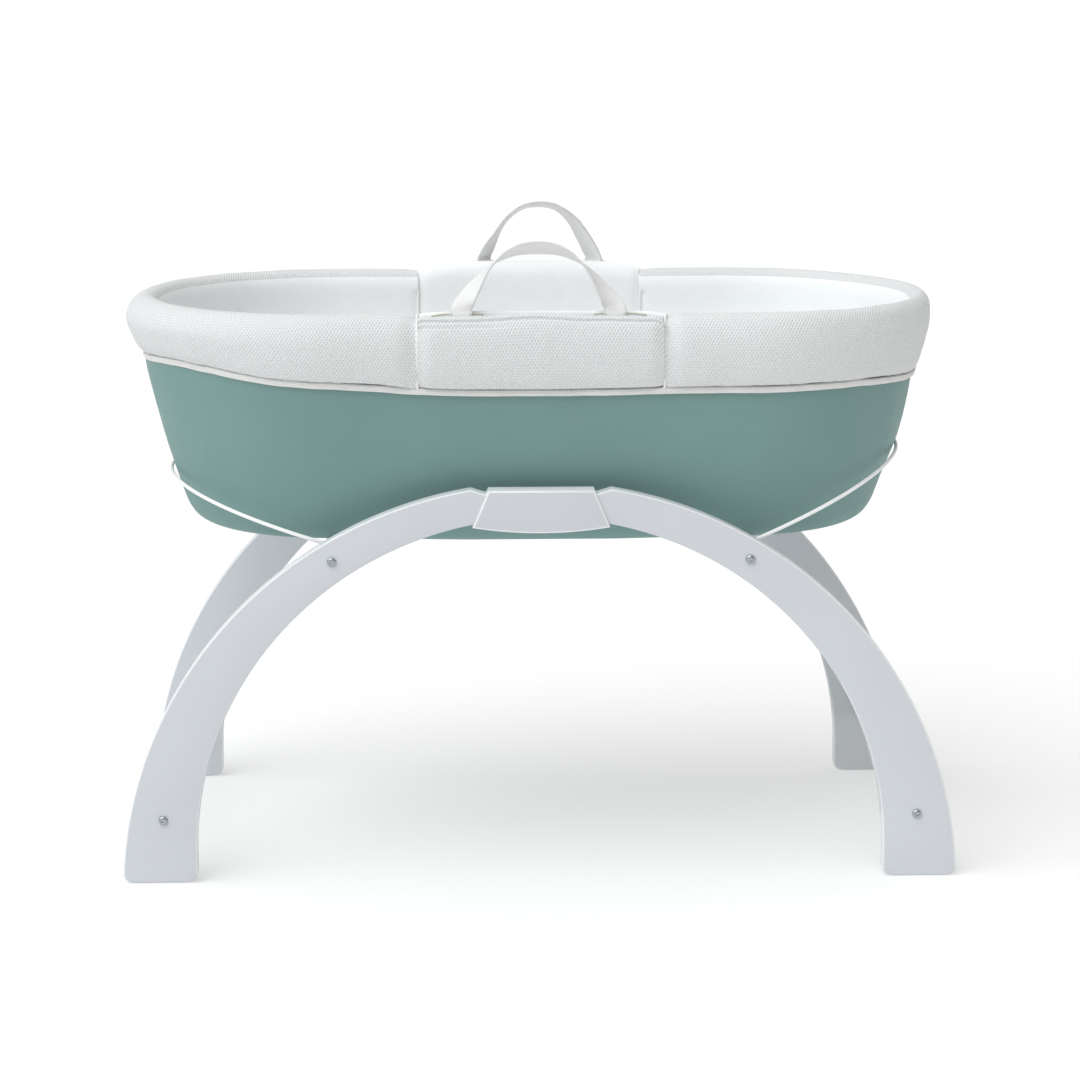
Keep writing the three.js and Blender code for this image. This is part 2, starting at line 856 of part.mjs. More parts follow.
// Quarter of the stand, made at the front right and mirrored to the other three.
for (const [face, ySign] of Object.entries(FACES)) {
  for (const [side, xSign] of Object.entries(SIDES)) {
    const quarter = mirrored(xSign, ySign);
    add(quarter, `${face}_${side}_leg`, legGeometry(), LACQUER);
    add(quarter, `${face}_${side}_foot_pad`, padGeometry(), RUBBER);
    add(quarter, `${face}_${side}_bridge_screw`, bridgeScrewGeometry(), STEEL);
    for (const [level, rail] of Object.entries(RAILS)) {
      const place = `${face}_${side}_${level}`;
      add(quarter, `${place}_bolt`, railBoltGeometry(rail), STEEL);
      add(quarter, `${place}_insert`, insertGeometry(rail), BRASS);
    }
  }
  add(mirrored(1, ySign), `${face}_bridge`, bridgeGeometry(), MOULDED_WHITE);
}

for (const [side, xSign] of Object.entries(SIDES)) {
  const half = mirrored(xSign, 1);
  add(half, `${side}_hoop`, hoopGeometry(HOOP_END[side]), WHITE_STEEL);
  add(half, `liner_${side}_end`, linerEndGeometry(), MESH_FABRIC);
  for (const [level, rail] of Object.entries(RAILS)) {
    add(half, `${side}_${level}_rail`, railGeometry(rail), WHITE_STEEL);
  }
}

add(basketOnStand, "shell", shellGeometry(), SAGE);
add(basketOnStand, "base_board", baseBoardGeometry(), FIBREBOARD);
add(basketOnStand, "liner_floor", linerFloorGeometry(), MESH_FABRIC);
add(basketOnStand, "hem_elastic", hemGeometry(), BINDING);
add(basketOnStand, "mattress", mattressGeometry(), TICKING);

for (const handle of HANDLES) {
  const { name, side, slotZ } = handle;
  const face = name.split("_")[0];
  const inner = innerPanelSection(slotZ - 1.8);
  const outer = outerPanelSection(CROWN_Z - 0.5);
  add(basketOnStand, `liner_${face}_inner`, betweenSeams(inner, side), MESH_FABRIC);
  add(basketOnStand, `liner_${face}_panel`, betweenSeams(outer, side), MESH_FABRIC);
  add(basketOnStand, name, handleGeometry(handle), WEBBING);
  const tailTop = slotZ - FOLD_CLEAR;
  for (const limb of Object.keys(SIDES)) {
    const x = handle[`${limb}X`];
    add(basketOnStand, `${face}_${limb}_strap_tail`, tailGeometry(side, x, tailTop), WEBBING);
    add(basketOnStand, `${face}_${limb}_rivet`, rivetGeometry(side, x), STEEL);
  }
}

export default basketOnStand;
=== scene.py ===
"""Moses basket on its arch stand: the finished surfaces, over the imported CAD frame.

Shapes are worked out in millimetres and scaled to metres when a mesh is made.
"""

import math

import bmesh
import bpy
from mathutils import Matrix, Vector, noise


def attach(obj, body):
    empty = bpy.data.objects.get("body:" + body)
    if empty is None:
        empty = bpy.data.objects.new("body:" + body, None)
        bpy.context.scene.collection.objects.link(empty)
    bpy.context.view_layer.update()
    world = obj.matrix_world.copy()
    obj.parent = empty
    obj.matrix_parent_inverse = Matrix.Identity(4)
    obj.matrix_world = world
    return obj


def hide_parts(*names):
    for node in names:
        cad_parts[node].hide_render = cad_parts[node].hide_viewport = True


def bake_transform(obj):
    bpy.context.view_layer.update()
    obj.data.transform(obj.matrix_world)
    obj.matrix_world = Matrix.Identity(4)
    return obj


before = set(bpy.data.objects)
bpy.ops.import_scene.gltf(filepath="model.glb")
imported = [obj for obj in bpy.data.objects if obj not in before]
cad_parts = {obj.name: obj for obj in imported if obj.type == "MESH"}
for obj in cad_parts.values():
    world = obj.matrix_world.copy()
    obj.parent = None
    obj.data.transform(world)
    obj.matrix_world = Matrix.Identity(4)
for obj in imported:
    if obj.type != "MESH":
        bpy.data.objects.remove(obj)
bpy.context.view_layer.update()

MM = 0.001
TAU = 2 * math.pi
HALF_PI = math.pi / 2

# ---- Dimensions shared with the CAD ----

SIDE_HALF = 195.5  # half the length of the plan's straight sides
SHELL_T = 4
SHELL_SIDE = [
    (123, 322.3), (133.5, 323.8), (143, 329.5), (149.8, 339), (155, 352), (164, 380),
    (171.5, 405), (178, 434), (182.5, 460), (186.5, 495), (189.5, 535),
]
SHELL_LOW_Z = SHELL_SIDE[0][1]
RIM_Z = 535
RIM_W = 190  # half-width at which distances along the rim are measured
SEAM_X = 116
PANEL_HALF = 115.8
STRAP_Y = 191.3

BOARD_FACE_Y = 200
BOARD_INNER_Y = 182
BOARD_MID_Y = 191
BOARD_HALF = BOARD_FACE_Y - BOARD_MID_Y
ARCH_R = 402
ARCH_CENTRE_Z = -14.5
INNER_SPAN = 330
INNER_RISE = 325
INNER_Z = 30
FOOT_R = 9
FOOT_Z = 0.8
SHOULDER_X = 66.5
TONGUE = (350.5, 378, 54, 0.4)  # low, top, step x, end x
BOARD_EDGE = 1.3
BRIDGE_HALF = 12
BRIDGE_EDGE = 1.6

RAIL_BOLT = dict(head_r=4.4, head_h=2.6, shank_r=2.9, length=33, hex_r=2.1)
BRIDGE_SCREW = dict(head_r=3.8, head_h=2.2, shank_r=2.0, length=14, hex_r=1.3)
SCREW_X, SCREW_Z = 27, 366
HOOP_ENDS = {"left": (361.5, 374), "right": (360.4, 395)}
HOOP_WIRE_R = 1.8

RAILS = {"upper": (198, 314), "lower": (362, 62.6)}
SIDES = {"left": -1, "right": 1}
FACES = {"front": -1, "rear": 1}

# Twist is the angle of a strap's width along its arch: 90 is edge-on to the front.
FRONT_TWIST = [(0, 180), (0.05, 143), (0.1, 126), (0.15, 113), (0.2, 101), (0.25, 90), (0.36, 66)]
HANDLES = {
    "front": dict(
        side=-1, slot=551.5, hinge=555, left=-75, right=69, apex=608.2, lean=9,
        twist=FRONT_TWIST + [(0.5, 51)] + [(1 - u, a) for u, a in reversed(FRONT_TWIST)]),
    "rear": dict(
        side=1, slot=557, hinge=566, left=-47, right=68, apex=614, lean=5,
        twist=[(0, 50), (0.08, 59), (0.2, 76), (0.35, 76), (0.5, 72), (0.65, 69), (0.8, 54),
               (0.94, 42), (1, 38)]),
}
STRAP_W = 21
STRAP_T = 2


# ---- Mesh helpers ----


def spline(points, steps):
    """Catmull-Rom curve through points, with this many steps in each span."""
    points = [Vector(p) for p in points]
    last = len(points) - 1
    out = []
    for i in range(last):
        a, b, c, d = (points[max(0, min(last, k))] for k in (i - 1, i, i + 1, i + 2))
        for s in range(steps):
            t = s / steps
            out.append(
                0.5 * (2 * b + (c - a) * t + (2 * a - 5 * b + 4 * c - d) * t * t
                       + (3 * b - a - 3 * c + d) * t ** 3)
            )
    out.append(points[-1])
    return out


def lookup(table, x):
    """Value at x in a table of (x, value) rows, straight between rows."""
    if x <= table[0][0]:
        return table[0][1]
    for (x0, y0), (x1, y1) in zip(table, table[1:]):
        if x <= x1:
            return y0 + (y1 - y0) * (x - x0) / (x1 - x0)
    return table[-1][1]


def smooth(x, low, high):
    """Smooth step from 0 at low to 1 at high."""
    t = max(0.0, min(1.0, (x - low) / (high - low)))
    return t * t * (3 - 2 * t)


def bell(distance, width):
    """1 at no distance, falling off over a width."""
    return math.exp(-((distance / width) ** 2))


def fade(distance, length):
    """1 up to no distance, then fading out over a length."""
    return math.exp(-max(0, distance) / length)


def run_lengths(points, closed=False):
    """Distance run at each point of a path."""
    out = [0.0]
    for a, b in zip(points, points[1:] + (points[:1] if closed else [])):
        out.append(out[-1] + (b - a).length)
    return out


def finish_mesh(name, verts, faces, uvs, material, body, smooth_angle=None):
    """One piece from millimetre points, faces and a UV for each face corner."""
    mesh = bpy.data.meshes.new(name)
    mesh.from_pydata([v * MM for v in verts], [], faces)
    layer = mesh.uv_layers.new(name="UVMap")
    for loop, uv in zip(layer.data, uvs):
        loop.uv = (uv[0] * MM, uv[1] * MM)
    solid = bmesh.new()
    solid.from_mesh(mesh)
    bmesh.ops.recalc_face_normals(solid, faces=solid.faces)
    solid.to_mesh(mesh)
    solid.free()
    mesh.polygons.foreach_set("use_smooth", [True] * len(mesh.polygons))
    if smooth_angle:
        mesh.set_sharp_from_angle(angle=math.radians(smooth_angle))
    mesh.materials.append(material)
    piece = bpy.data.objects.new(name, mesh)
    bpy.context.scene.collection.objects.link(piece)
    if body:
        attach(piece, body)
    return piece


def skin(name, rows, material, body, us=None, vs=None, round_rows=False, round_cols=True,
         caps=False, smooth_angle=None, inside=None):
    """Surface over rows of points. UVs are distances, u from row to row and v within a row.

    inside is (columns, material): the first columns of the section get the second material.
    """
    n, m = len(rows), len(rows[0])
    us = us or run_lengths([row[0] for row in rows], round_rows)
    vs = vs or run_lengths(rows[n // 2], round_cols)
    faces, uvs = [], []
    for i in range(n if round_rows else n - 1):
        for j in range(m if round_cols else m - 1):
            i2, j2 = (i + 1) % n, (j + 1) % m
            faces.append((i * m + j, i2 * m + j, i2 * m + j2, i * m + j2))
            uvs += [(us[i], vs[j]), (us[i + 1], vs[j]), (us[i + 1], vs[j + 1]), (us[i], vs[j + 1])]
    if caps:
        for start, order in ((0, range(m)), ((n - 1) * m, range(m - 1, -1, -1))):
            faces.append(tuple(start + j for j in order))
            uvs += [(0, 0)] * m
    piece = finish_mesh(name, [p for row in rows for p in row], faces, uvs, material, body,
                        smooth_angle)
    if inside:
        columns, other = inside
        piece.data.materials.append(other)
        for polygon in piece.data.polygons:
            if all(v % m <= columns for v in polygon.vertices):
                polygon.material_index = 1
    return piece


def circle(centre, radius, sides, across, up):
    return [centre + radius * (math.cos(TAU * k / sides) * across + math.sin(TAU * k / sides) * up)
            for k in range(sides)]


def tube(name, path, radius, material, body, sides=16):
    """Round bar with eased ends along a path that is already smooth."""
    rows = []
    side = None
    for i, here in enumerate(path):
        ahead = (path[min(i + 1, len(path) - 1)] - path[max(i - 1, 0)]).normalized()
        side = side or ahead.orthogonal().normalized()
        side = (side - ahead * side.dot(ahead)).normalized()
        rows.append(circle(here, radius, sides, side, ahead.cross(side)))
    ends = []
    for row, centre, inner in ((rows[0], path[0], path[1]), (rows[-1], path[-1], path[-2])):
        out = (centre - inner).normalized() * radius * 0.4
        ends.append([centre + (p - centre) * 0.7 + out for p in row])
    return skin(name, [ends[0]] + rows + [ends[1]], material, body, caps=True)


def ring_skin(name, rows, us, material, body, smooth_angle=None):
    """Closed piece from a ring of open sections, with the flats in its middle filled."""
    piece = skin(name, rows, material, body, us=us, round_rows=True, round_cols=False,
                 smooth_angle=smooth_angle)
    solid = bmesh.new()
    solid.from_mesh(piece.data)
    bmesh.ops.holes_fill(solid, edges=[e for e in solid.edges if e.is_boundary], sides=0)
    bmesh.ops.recalc_face_normals(solid, faces=solid.faces)
    solid.to_mesh(piece.data)
    solid.free()
    return piece


def planar_uv(piece):
    """UVs straight down from above, with the walls unrolled by height."""
    mesh = piece.data
    layer = mesh.uv_layers["UVMap"]
    for loop in mesh.loops:
        p = mesh.vertices[loop.vertex_index].co
        layer.data[loop.index].uv = (p.x, p.y + 0.6 * p.z)


def turned(name, profile, centre, axis, up, material, body, sides=48, shape=None,
           smooth_angle=40):
    """Turned piece. Its profile is radius, distance along the axis, and whether shape applies."""
    across = axis.cross(up)
    rows = []
    for k in range(sides):
        angle = TAU * k / sides
        out = math.cos(angle) * up + math.sin(angle) * across
        rows.append([
            centre + out * r * (shape(angle) if shape and hexed else 1) + axis * d
            for r, d, hexed in profile
        ])
    return skin(name, rows, material, body, round_rows=True, round_cols=False,
                smooth_angle=smooth_angle)


# ---- The basket's plan and side shape ----

SIDE_CURVE = [(p.y, p.x) for p in spline(SHELL_SIDE, 14)]


def shell_at(z):
    """The shell's outer half-width at a height."""
    return lookup(SIDE_CURVE, z)


def place(x, angle, w, z):
    """A point at one station of the plan, w out from the plan's spine."""
    return Vector((x + w * math.cos(angle), w * math.sin(angle), z))


def ring_stations(arc=72, straight=40):
    """Stations right round the plan, each spine x, angle and run, and the runs with the total."""
    out, run = [], 0.0
    for side in (1, -1):
        for k in range(arc):
            out.append((side * SIDE_HALF, -side * HALF_PI + math.pi * k / arc, run))
            run += math.pi * RIM_W / arc
        for k in range(straight):
            share = k / straight
            out.append((side * SIDE_HALF * (1 - 2 * share), side * HALF_PI, run))
            run += 2 * SIDE_HALF / straight
    return out, [station[2] for station in out] + [run]


def end_stations(side, arc=150, straight=26):
    """Stations round one end, from the front seam to the rear seam."""
    out = []
    length = SIDE_HALF - SEAM_X
    seam_gap = 0.2
    front = [SEAM_X + seam_gap + (length - seam_gap) * (k / straight) ** 1.35
             for k in range(straight)]
    for x in front:
        out.append((x, -HALF_PI, x - SEAM_X))
    for k in range(arc + 1):
        out.append((SIDE_HALF, math.pi * (k / arc - 0.5), length + math.pi * RIM_W * k / arc))
    for x in reversed(front):
        out.append((x, HALF_PI, 2 * length + math.pi * RIM_W - (x - SEAM_X)))
    if side < 0:
        return [(-x, math.pi - angle, run) for x, angle, run in out]
    return out


# The binding's lower edge: x and height. The elastic draws it up unevenly.
HEM_EDGE = [
    (-400, 484), (-385, 485), (-353, 489), (-320, 487.5), (-288, 483.5), (-259, 479.8),
    (-226, 477.5), (-188, 475.8), (-151, 473.4), (-118, 470.8), (-76, 469.3), (0, 469),
    (60, 469.4), (118, 470.6), (230, 471), (300, 471),
    (330, 470), (352, 468.4), (370, 466.8), (400, 466),
]
HEM_TABLE = [(p.x, p.y) for p in spline(HEM_EDGE, 4)]
HEM_H = 6.8

# How far each end of the shell is drawn in: height and distance.
RIGHT_END = [(322, 7.5), (334, 8.2), (350, 8.2), (365, 7.8), (379, 6.6), (391, 5.6), (405, 4.6),
             (425, 4.0), (540, 4.0)]
LEFT_END = [(322, 0), (405, 0), (430, 0.8), (452, 2.2), (475, 4.5), (490, 4.6), (515, 2),
            (535, 0)]


def squeeze(angle, z):
    """How far the shell is drawn in at one height: its right end leaner, its left end fuller."""
    turn = math.cos(angle)
    return turn * lookup(RIGHT_END if turn > 0 else LEFT_END, z)


def hem_low(point):
    """Height of the binding's lower edge."""
    return lookup(HEM_TABLE, point.x)


def ripple(run, seed, size):
    """Smooth noise along the rim."""
    return noise.noise(Vector((run / size, seed * 7.3, 0.37 * seed)))


# ---- Materials ----


class Nodes:
    """Short calls for making nodes in a tree."""

    def __init__(self, tree):
        self.tree = tree

    def node(self, kind, inputs=(), **props):
        node = self.tree.nodes.new(kind)
        for key, value in props.items():
            setattr(node, key, value)
        for key, value in dict(inputs).items():
            if isinstance(value, bpy.types.NodeSocket):
                self.tree.links.new(value, node.inputs[key])
            else:
                node.inputs[key].default_value = value
        return node

    def math(self, operation, *values):
        return self.node("ShaderNodeMath", enumerate(values), operation=operation).outputs[0]

    def spread(self, value, low, high, new_low, new_high):
        return self.node("ShaderNodeMapRange", {
            "Value": value, "From Min": low, "From Max": high,
            "To Min": new_low, "To Max": new_high,
        }).outputs["Result"]


class Look(Nodes):
    """A node material round one Principled shader. Scales are in cells per metre."""

    def __init__(self, name, color, roughness, **sockets):
        self.material = bpy.data.materials.new(name)
        self.material.use_nodes = True
        super().__init__(self.material.node_tree)
        self.shader = self.tree.nodes["Principled BSDF"]
        self.set("Base Color", (*color, 1))
        self.set("Roughness", roughness)
        for socket, value in sockets.items():
            self.set(socket.replace("_", " "), value)
        self.coords = self.node("ShaderNodeTexCoord")
        self.place = self.coords.outputs["Object"]
        self.uv = self.coords.outputs["UV"]
        self.normal = None

    def set(self, socket, value):
        self.shader.inputs[socket].default_value = value

    def link(self, value, socket):
        self.tree.links.new(value, self.shader.inputs[socket])

    def noise(self, scale, detail=2.0, coords=None, rough=0.5):
        """Noise from 0 to 1."""
        return self.node("ShaderNodeTexNoise", {
            "Vector": coords or self.place, "Scale": scale, "Detail": detail, "Roughness": rough,
        }).outputs["Fac"]

    def wave(self, direction, pitch, coords=None):
        """Cosine from -1 to 1 along a direction, with its pitch in metres."""
        k = TAU / pitch
        phase = self.node("ShaderNodeVectorMath",
                          {0: coords or self.uv, 1: Vector(direction) * k},
                          operation="DOT_PRODUCT").outputs["Value"]
        return self.math("COSINE", phase)

    def color(self, share, first, second):
        """Base colour that runs from first to second."""
        mixed = self.node("ShaderNodeMix", {0: share, 6: (*first, 1), 7: (*second, 1)},
                          data_type="RGBA")
        self.link(mixed.outputs[2], "Base Color")

    def patches(self, scale, detail, first, second):
        """Noise that drifts from first to second."""
        return self.spread(self.noise(scale, detail), 0.3, 0.7, first, second)

    def cloud(self, scale, first, second, detail=3):
        """Base colour that drifts from first to second."""
        self.color(self.patches(scale, detail, 0, 1), first, second)

    def rough(self, scale, first, second):
        """Roughness that drifts from first to second."""
        self.link(self.patches(scale, 3, first, second), "Roughness")

    def bump(self, height, strength, distance):
        """Relief on top of any relief already there; distance is in metres."""
        inputs = {"Height": height, "Strength": strength, "Distance": distance}
        if self.normal:
            inputs["Normal"] = self.normal
        self.normal = self.node("ShaderNodeBump", inputs).outputs["Normal"]
        self.link(self.normal, "Normal")


def tone(color, factor):
    """A lighter or darker colour."""
    return tuple(min(1, c * factor) for c in color)


def painted(name, color, roughness, grain, grain_height, **sockets):
    """Smooth painted or moulded surface with a fine grain."""
    look = Look(name, color, roughness, **sockets)
    look.cloud(9, tone(color, 0.985), tone(color, 1.015))
    look.rough(60, roughness - 0.04, roughness + 0.05)
    look.bump(look.noise(grain, 3), 0.35, grain_height)
    return look.material


def lacquer(name, color):
    """Lacquered board: a faint brushed grain along X under a satin coat."""
    look = Look(name, color, 0.4, Coat_Weight=0.25, Coat_Roughness=0.3)
    stretched = look.node("ShaderNodeMapping", {"Vector": look.place, "Scale": (0.25, 1, 1)})
    look.cloud(7, tone(color, 0.98), tone(color, 1.015))
    look.rough(45, 0.35, 0.45)
    look.bump(look.noise(260, 2, stretched.outputs["Vector"]), 0.25, 0.00012)
    look.bump(look.noise(1400, 2), 0.2, 0.00004)
    return look.material


def moulded_shell():
    """Matt sage moulded plastic with a fine spark-eroded grain."""
    color = (0.172, 0.298, 0.284)
    look = Look("sage_plastic", color, 0.6, IOR=1.46)
    look.cloud(5, tone(color, 0.96), tone(color, 1.04))
    look.rough(30, 0.54, 0.66)
    look.bump(look.noise(1800, 3, rough=0.7), 0.5, 0.00009)
    return look.material


def air_mesh(name="air_mesh", color=(0.757, 0.772, 0.78), strength=1.0):
    """Spacer mesh: rows of small cells over a soft core. strength fades their relief and painted
    shade.
    """
    look = Look(name, color, 0.85, Sheen_Weight=0.25, Sheen_Roughness=0.5)
    look.set("Sheen Tint", (1, 1, 1, 1))
    pitch, wander = 0.0027, 0.0006
    wobble = look.node("ShaderNodeTexNoise", {"Vector": look.uv, "Scale": 40.0, "Detail": 1.0})
    shift = look.node("ShaderNodeVectorMath",
                      {0: wobble.outputs["Color"], "Scale": wander}, operation="SCALE")
    coords = look.node("ShaderNodeVectorMath", {0: look.uv, 1: shift.outputs[0]},
                       operation="ADD").outputs[0]
    rows = look.math("MULTIPLY", look.wave((0, 1, 0), pitch, coords), 0.45)
    rows = look.math("ADD", rows, look.wave((0.866, 0.5, 0), pitch, coords))
    total = look.math("ADD", rows, look.wave((0.866, -0.5, 0), pitch, coords))
    hole = look.spread(total, 0.5, 2.2, 0, 1)
    threads = look.noise(2600, 2, coords)
    # The holes are darkened, more in some patches: painted shade in the cells.
    patches = look.spread(look.noise(11, 2), 0.35, 0.65, 0.10 * strength, 0.34 * strength)
    shade = look.math("MULTIPLY", hole, patches)
    look.color(shade, color, tone(color, 0.55))
    look.bump(total, 0.6 * strength, -0.0004)
    look.bump(threads, 0.2, 0.0001)
    return look.material


def binding():
    """Ribbed elastic binding."""
    color = (0.82, 0.815, 0.80)
    look = Look("elastic_binding", color, 0.8, Sheen_Weight=0.2)
    rib = look.wave((1, 0, 0), 0.0011)
    thread = look.wave((0, 1, 0), 0.0016)
    look.cloud(60, tone(color, 0.94), color, 2)
    look.bump(rib, 0.5, 0.0002)
    look.bump(thread, 0.4, 0.00025)
    return look.material


def webbing():
    """Flat woven webbing: ribs along its length and picks across it."""
    color = (0.90, 0.905, 0.90)
    look = Look("webbing", color, 0.75, Sheen_Weight=0.3)
    rib = look.wave((1, 0, 0), 0.0015)
    pick = look.wave((0, 1, 0), 0.0009)
    weave = look.math("MULTIPLY", rib, pick)
    look.color(look.spread(weave, -1, 1, 0, 1), tone(color, 0.90), color)
    look.bump(rib, 0.5, 0.00025)
    look.bump(weave, 0.6, 0.00018)
    look.bump(look.noise(3000, 2), 0.2, 0.0001)
    return look.material


def ticking():
    """Quilted cotton cover: stitched lozenges over a fine plain weave."""
    color = (0.90, 0.895, 0.87)
    look = Look("quilted_ticking", color, 0.85, Sheen_Weight=0.3)
    one = look.wave((0.5, 0.866, 0), 0.04)
    two = look.wave((0.5, -0.866, 0), 0.04)
    groove = look.math("MAXIMUM", look.spread(one, 0.9, 1, 0, 1), look.spread(two, 0.9, 1, 0, 1))
    weave = look.math("MULTIPLY", look.wave((1, 0, 0), 0.0012), look.wave((0, 1, 0), 0.0012))
    # The grooves are darkened in colour: painted shade in the quilting's creases.
    look.color(look.math("MULTIPLY", groove, 0.5), color, tone(color, 0.75))
    look.bump(groove, 0.8, -0.002)
    look.bump(weave, 0.4, 0.0002)
    return look.material


def plated():
    """Zinc-plated steel with fine turning marks."""
    look = Look("zinc_steel", (0.42, 0.45, 0.48), 0.28, Metallic=1.0)
    look.rough(900, 0.22, 0.42)
    look.bump(look.noise(2500, 2), 0.3, 0.00004)
    return look.material


def speckled(name, color, speck, dark, light, grain, strength):
    """Matt material with fine specks and a grain, both as arguments for noise."""
    look = Look(name, color, 0.8)
    look.color(look.noise(*speck), tone(color, dark), tone(color, light))
    look.bump(look.noise(*grain), strength, 0.0002)
    return look.material


def brass():
    """Turned brass."""
    look = Look("brass", (0.72, 0.52, 0.24), 0.35, Metallic=1.0)
    look.rough(700, 0.28, 0.45)
    look.bump(look.wave((0, 1, 0), 0.0007, look.place), 0.4, 0.0001)
    return look.material


# One white paint in two tones: the lighter edge copy is a painted highlight on the lit edges, the
# greyer board face painted shade.
LACQUER = lacquer("lacquered_board", (0.605, 0.63, 0.665))
PAINTED_HIGHLIGHT_LACQUER = lacquer("lacquered_edge_painted_highlight", (0.78, 0.79, 0.81))
# The moulding likewise: its lighter edge copy is a painted highlight, its greyer face painted
# shade.
MOULDED_WHITE = painted("white_moulding", (0.59, 0.615, 0.65), 0.42, 2200, 0.00006)
PAINTED_HIGHLIGHT_MOULDING = painted("white_moulding_painted_highlight", (0.82, 0.83, 0.84), 0.4, 2200, 0.00006)
POWDER = painted("powder_coat", (0.90, 0.90, 0.90), 0.38, 2600, 0.00008)
SAGE = moulded_shell()
AIR_MESH = air_mesh()
# Lighter copy of the same mesh for the walls inside the basket: painted light for the brighter
# light there, with its cells' relief and painted shade faded.
AIR_MESH_LIT_INSIDE = air_mesh("air_mesh_inside_painted_light", (0.90, 0.92, 0.94), 0.25)
BINDING = binding()
WEBBING = webbing()
TICKING = ticking()
STEEL = plated()
RUBBER = speckled("foot_rubber", (0.26, 0.265, 0.265), (300, 3), 0.85, 1.1, (1500, 3), 0.5)
BRASS = brass()
FIBREBOARD = speckled("fibreboard", (0.45, 0.33, 0.20), (500, 5, None, 0.7), 0.75, 1.2,
                      (1200, 4), 0.4)
TAPE = painted("seam_tape", (0.84, 0.838, 0.825), 0.8, 1500, 0.0002, Sheen_Weight=0.2)
SLOT_TAPE = painted("slot_tape", (0.80, 0.79, 0.70), 0.8, 1500, 0.0002, Sheen_Weight=0.2)


# ---- Stand ----


def leg_outline(steps=72):
    """The right leg's outline in x and z, anticlockwise from its tongue."""
    low, top, step_x, end_x = TONGUE
    points = [(end_x, low)]
    start = math.asin((low - INNER_Z) / INNER_RISE)
    for k in range(steps + 1):
        a = start * (1 - k / steps)
        points.append((INNER_SPAN * math.cos(a), INNER_Z + INNER_RISE * math.sin(a)))
    corner = FOOT_Z + FOOT_R
    outer_x = math.sqrt(ARCH_R ** 2 - (corner - ARCH_CENTRE_Z) ** 2)
    for centre, first in ((INNER_SPAN + FOOT_R, math.pi), (outer_x - FOOT_R, 1.5 * math.pi)):
        for k in range(9):
            a = first + HALF_PI * k / 8
            points.append((centre + FOOT_R * math.cos(a), corner + FOOT_R * math.sin(a)))
    foot = math.asin((corner - ARCH_CENTRE_Z) / ARCH_R)
    shoulder = math.acos(SHOULDER_X / ARCH_R)
    for k in range(1, steps + 1):
        a = foot + (shoulder - foot) * k / steps
        points.append((ARCH_R * math.cos(a), ARCH_CENTRE_Z + ARCH_R * math.sin(a)))
    return points + [(step_x, top), (end_x, top)]


def plate(name, outline, y, half_depth, edge, material, rim, segments=4, rim_highlight_below=True):
    """Upright plate with rounded edges, from an outline in x and z.

    Its rim is a painted highlight, except underneath when the last flag is false: there it is
    painted shade.
    """
    pts = []
    for p in map(Vector, outline):
        if not pts or (p - pts[-1]).length > 0.05:
            pts.append(p)
    area = sum(a.x * b.y - b.x * a.y for a, b in zip(pts, pts[1:] + pts[:1]))
    inward = []
    for i, p in enumerate(pts):
        before = (p - pts[i - 1]).normalized()
        after = (pts[(i + 1) % len(pts)] - p).normalized()
        n1, n2 = (Vector((-d.y, d.x)) * (1 if area > 0 else -1) for d in (before, after))
        bisector = (n1 + n2).normalized()
        inward.append(bisector / max(0.5, bisector.dot(n1)))
    rows = []
    for sign in (1, -1):
        arc = []
        for k in range(segments + 1):
            a = HALF_PI * k / segments
            inset = edge * (1 - math.sin(a))
            depth = edge * (1 - math.cos(a))
            arc.append([
                Vector((p.x + inset * n.x, y - sign * (half_depth - depth), p.y + inset * n.y))
                for p, n in zip(pts, inward)
            ])
        rows += arc if sign > 0 else arc[::-1]
    board = skin(name, rows, material, "stand", caps=True, smooth_angle=50)
    board.data.materials.append(rim)
    for polygon in board.data.polygons:
        # Painted highlight on the rim; with the last flag false, downward rim faces keep the
        # darker face colour as painted shade.
        takes_highlight = len(polygon.vertices) == 4 and (rim_highlight_below or polygon.normal.z > -0.1)
        polygon.material_index = 1 if takes_highlight else 0
    return board


def bridge_outline(steps=32):
    """The bridge's outline in x and z: a wedge with a bowed lower edge."""
    top, low, bulge, top_half, low_half = 381.4, 346, 340.7, 50, 65
    pull = 2 * bulge - low
    points = [(top_half, top), (-top_half, top)]
    for k in range(steps + 1):
        t = k / steps
        points.append((-low_half + 2 * low_half * t,
                       low * (1 - t) ** 2 + 2 * pull * t * (1 - t) + low * t * t))
    return points


def bolt(name, node, x, z, face_y, outward, head_r, head_h, shank_r, length, hex_r):
    """Button-head bolt with a hexagon socket and an eased rim."""
    axis = Vector((0, outward, 0))
    top = 0.3 + head_h

    def hexagon(angle):
        return math.cos(math.pi / 6) / math.cos((angle % (math.pi / 3)) - math.pi / 6) * 1.08

    dome = [(0, top - head_h * 0.5, False), (hex_r, top - head_h * 0.5, True),
            (hex_r, top - 0.12, True), (hex_r * 1.06, top, True)]
    for k in range(1, 9):
        a = HALF_PI * k / 8
        dome.append((hex_r * 1.1 + (head_r - hex_r * 1.1) * math.sin(a),
                     top - (head_h - 0.5) * (1 - math.cos(a)), False))
    profile = dome + [(head_r, 0.45, False), (head_r - 0.15, 0.3, False), (shank_r, 0.3, False),
                      (shank_r, 0.5 - length, False), (shank_r - 0.5, -length, False),
                      (0, -length, False)]
    piece = turned(name, profile, Vector((x, face_y, z)), axis, Vector((1, 0, 0)), STEEL, "stand",
                   shape=hexagon, smooth_angle=35)
    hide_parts(node)


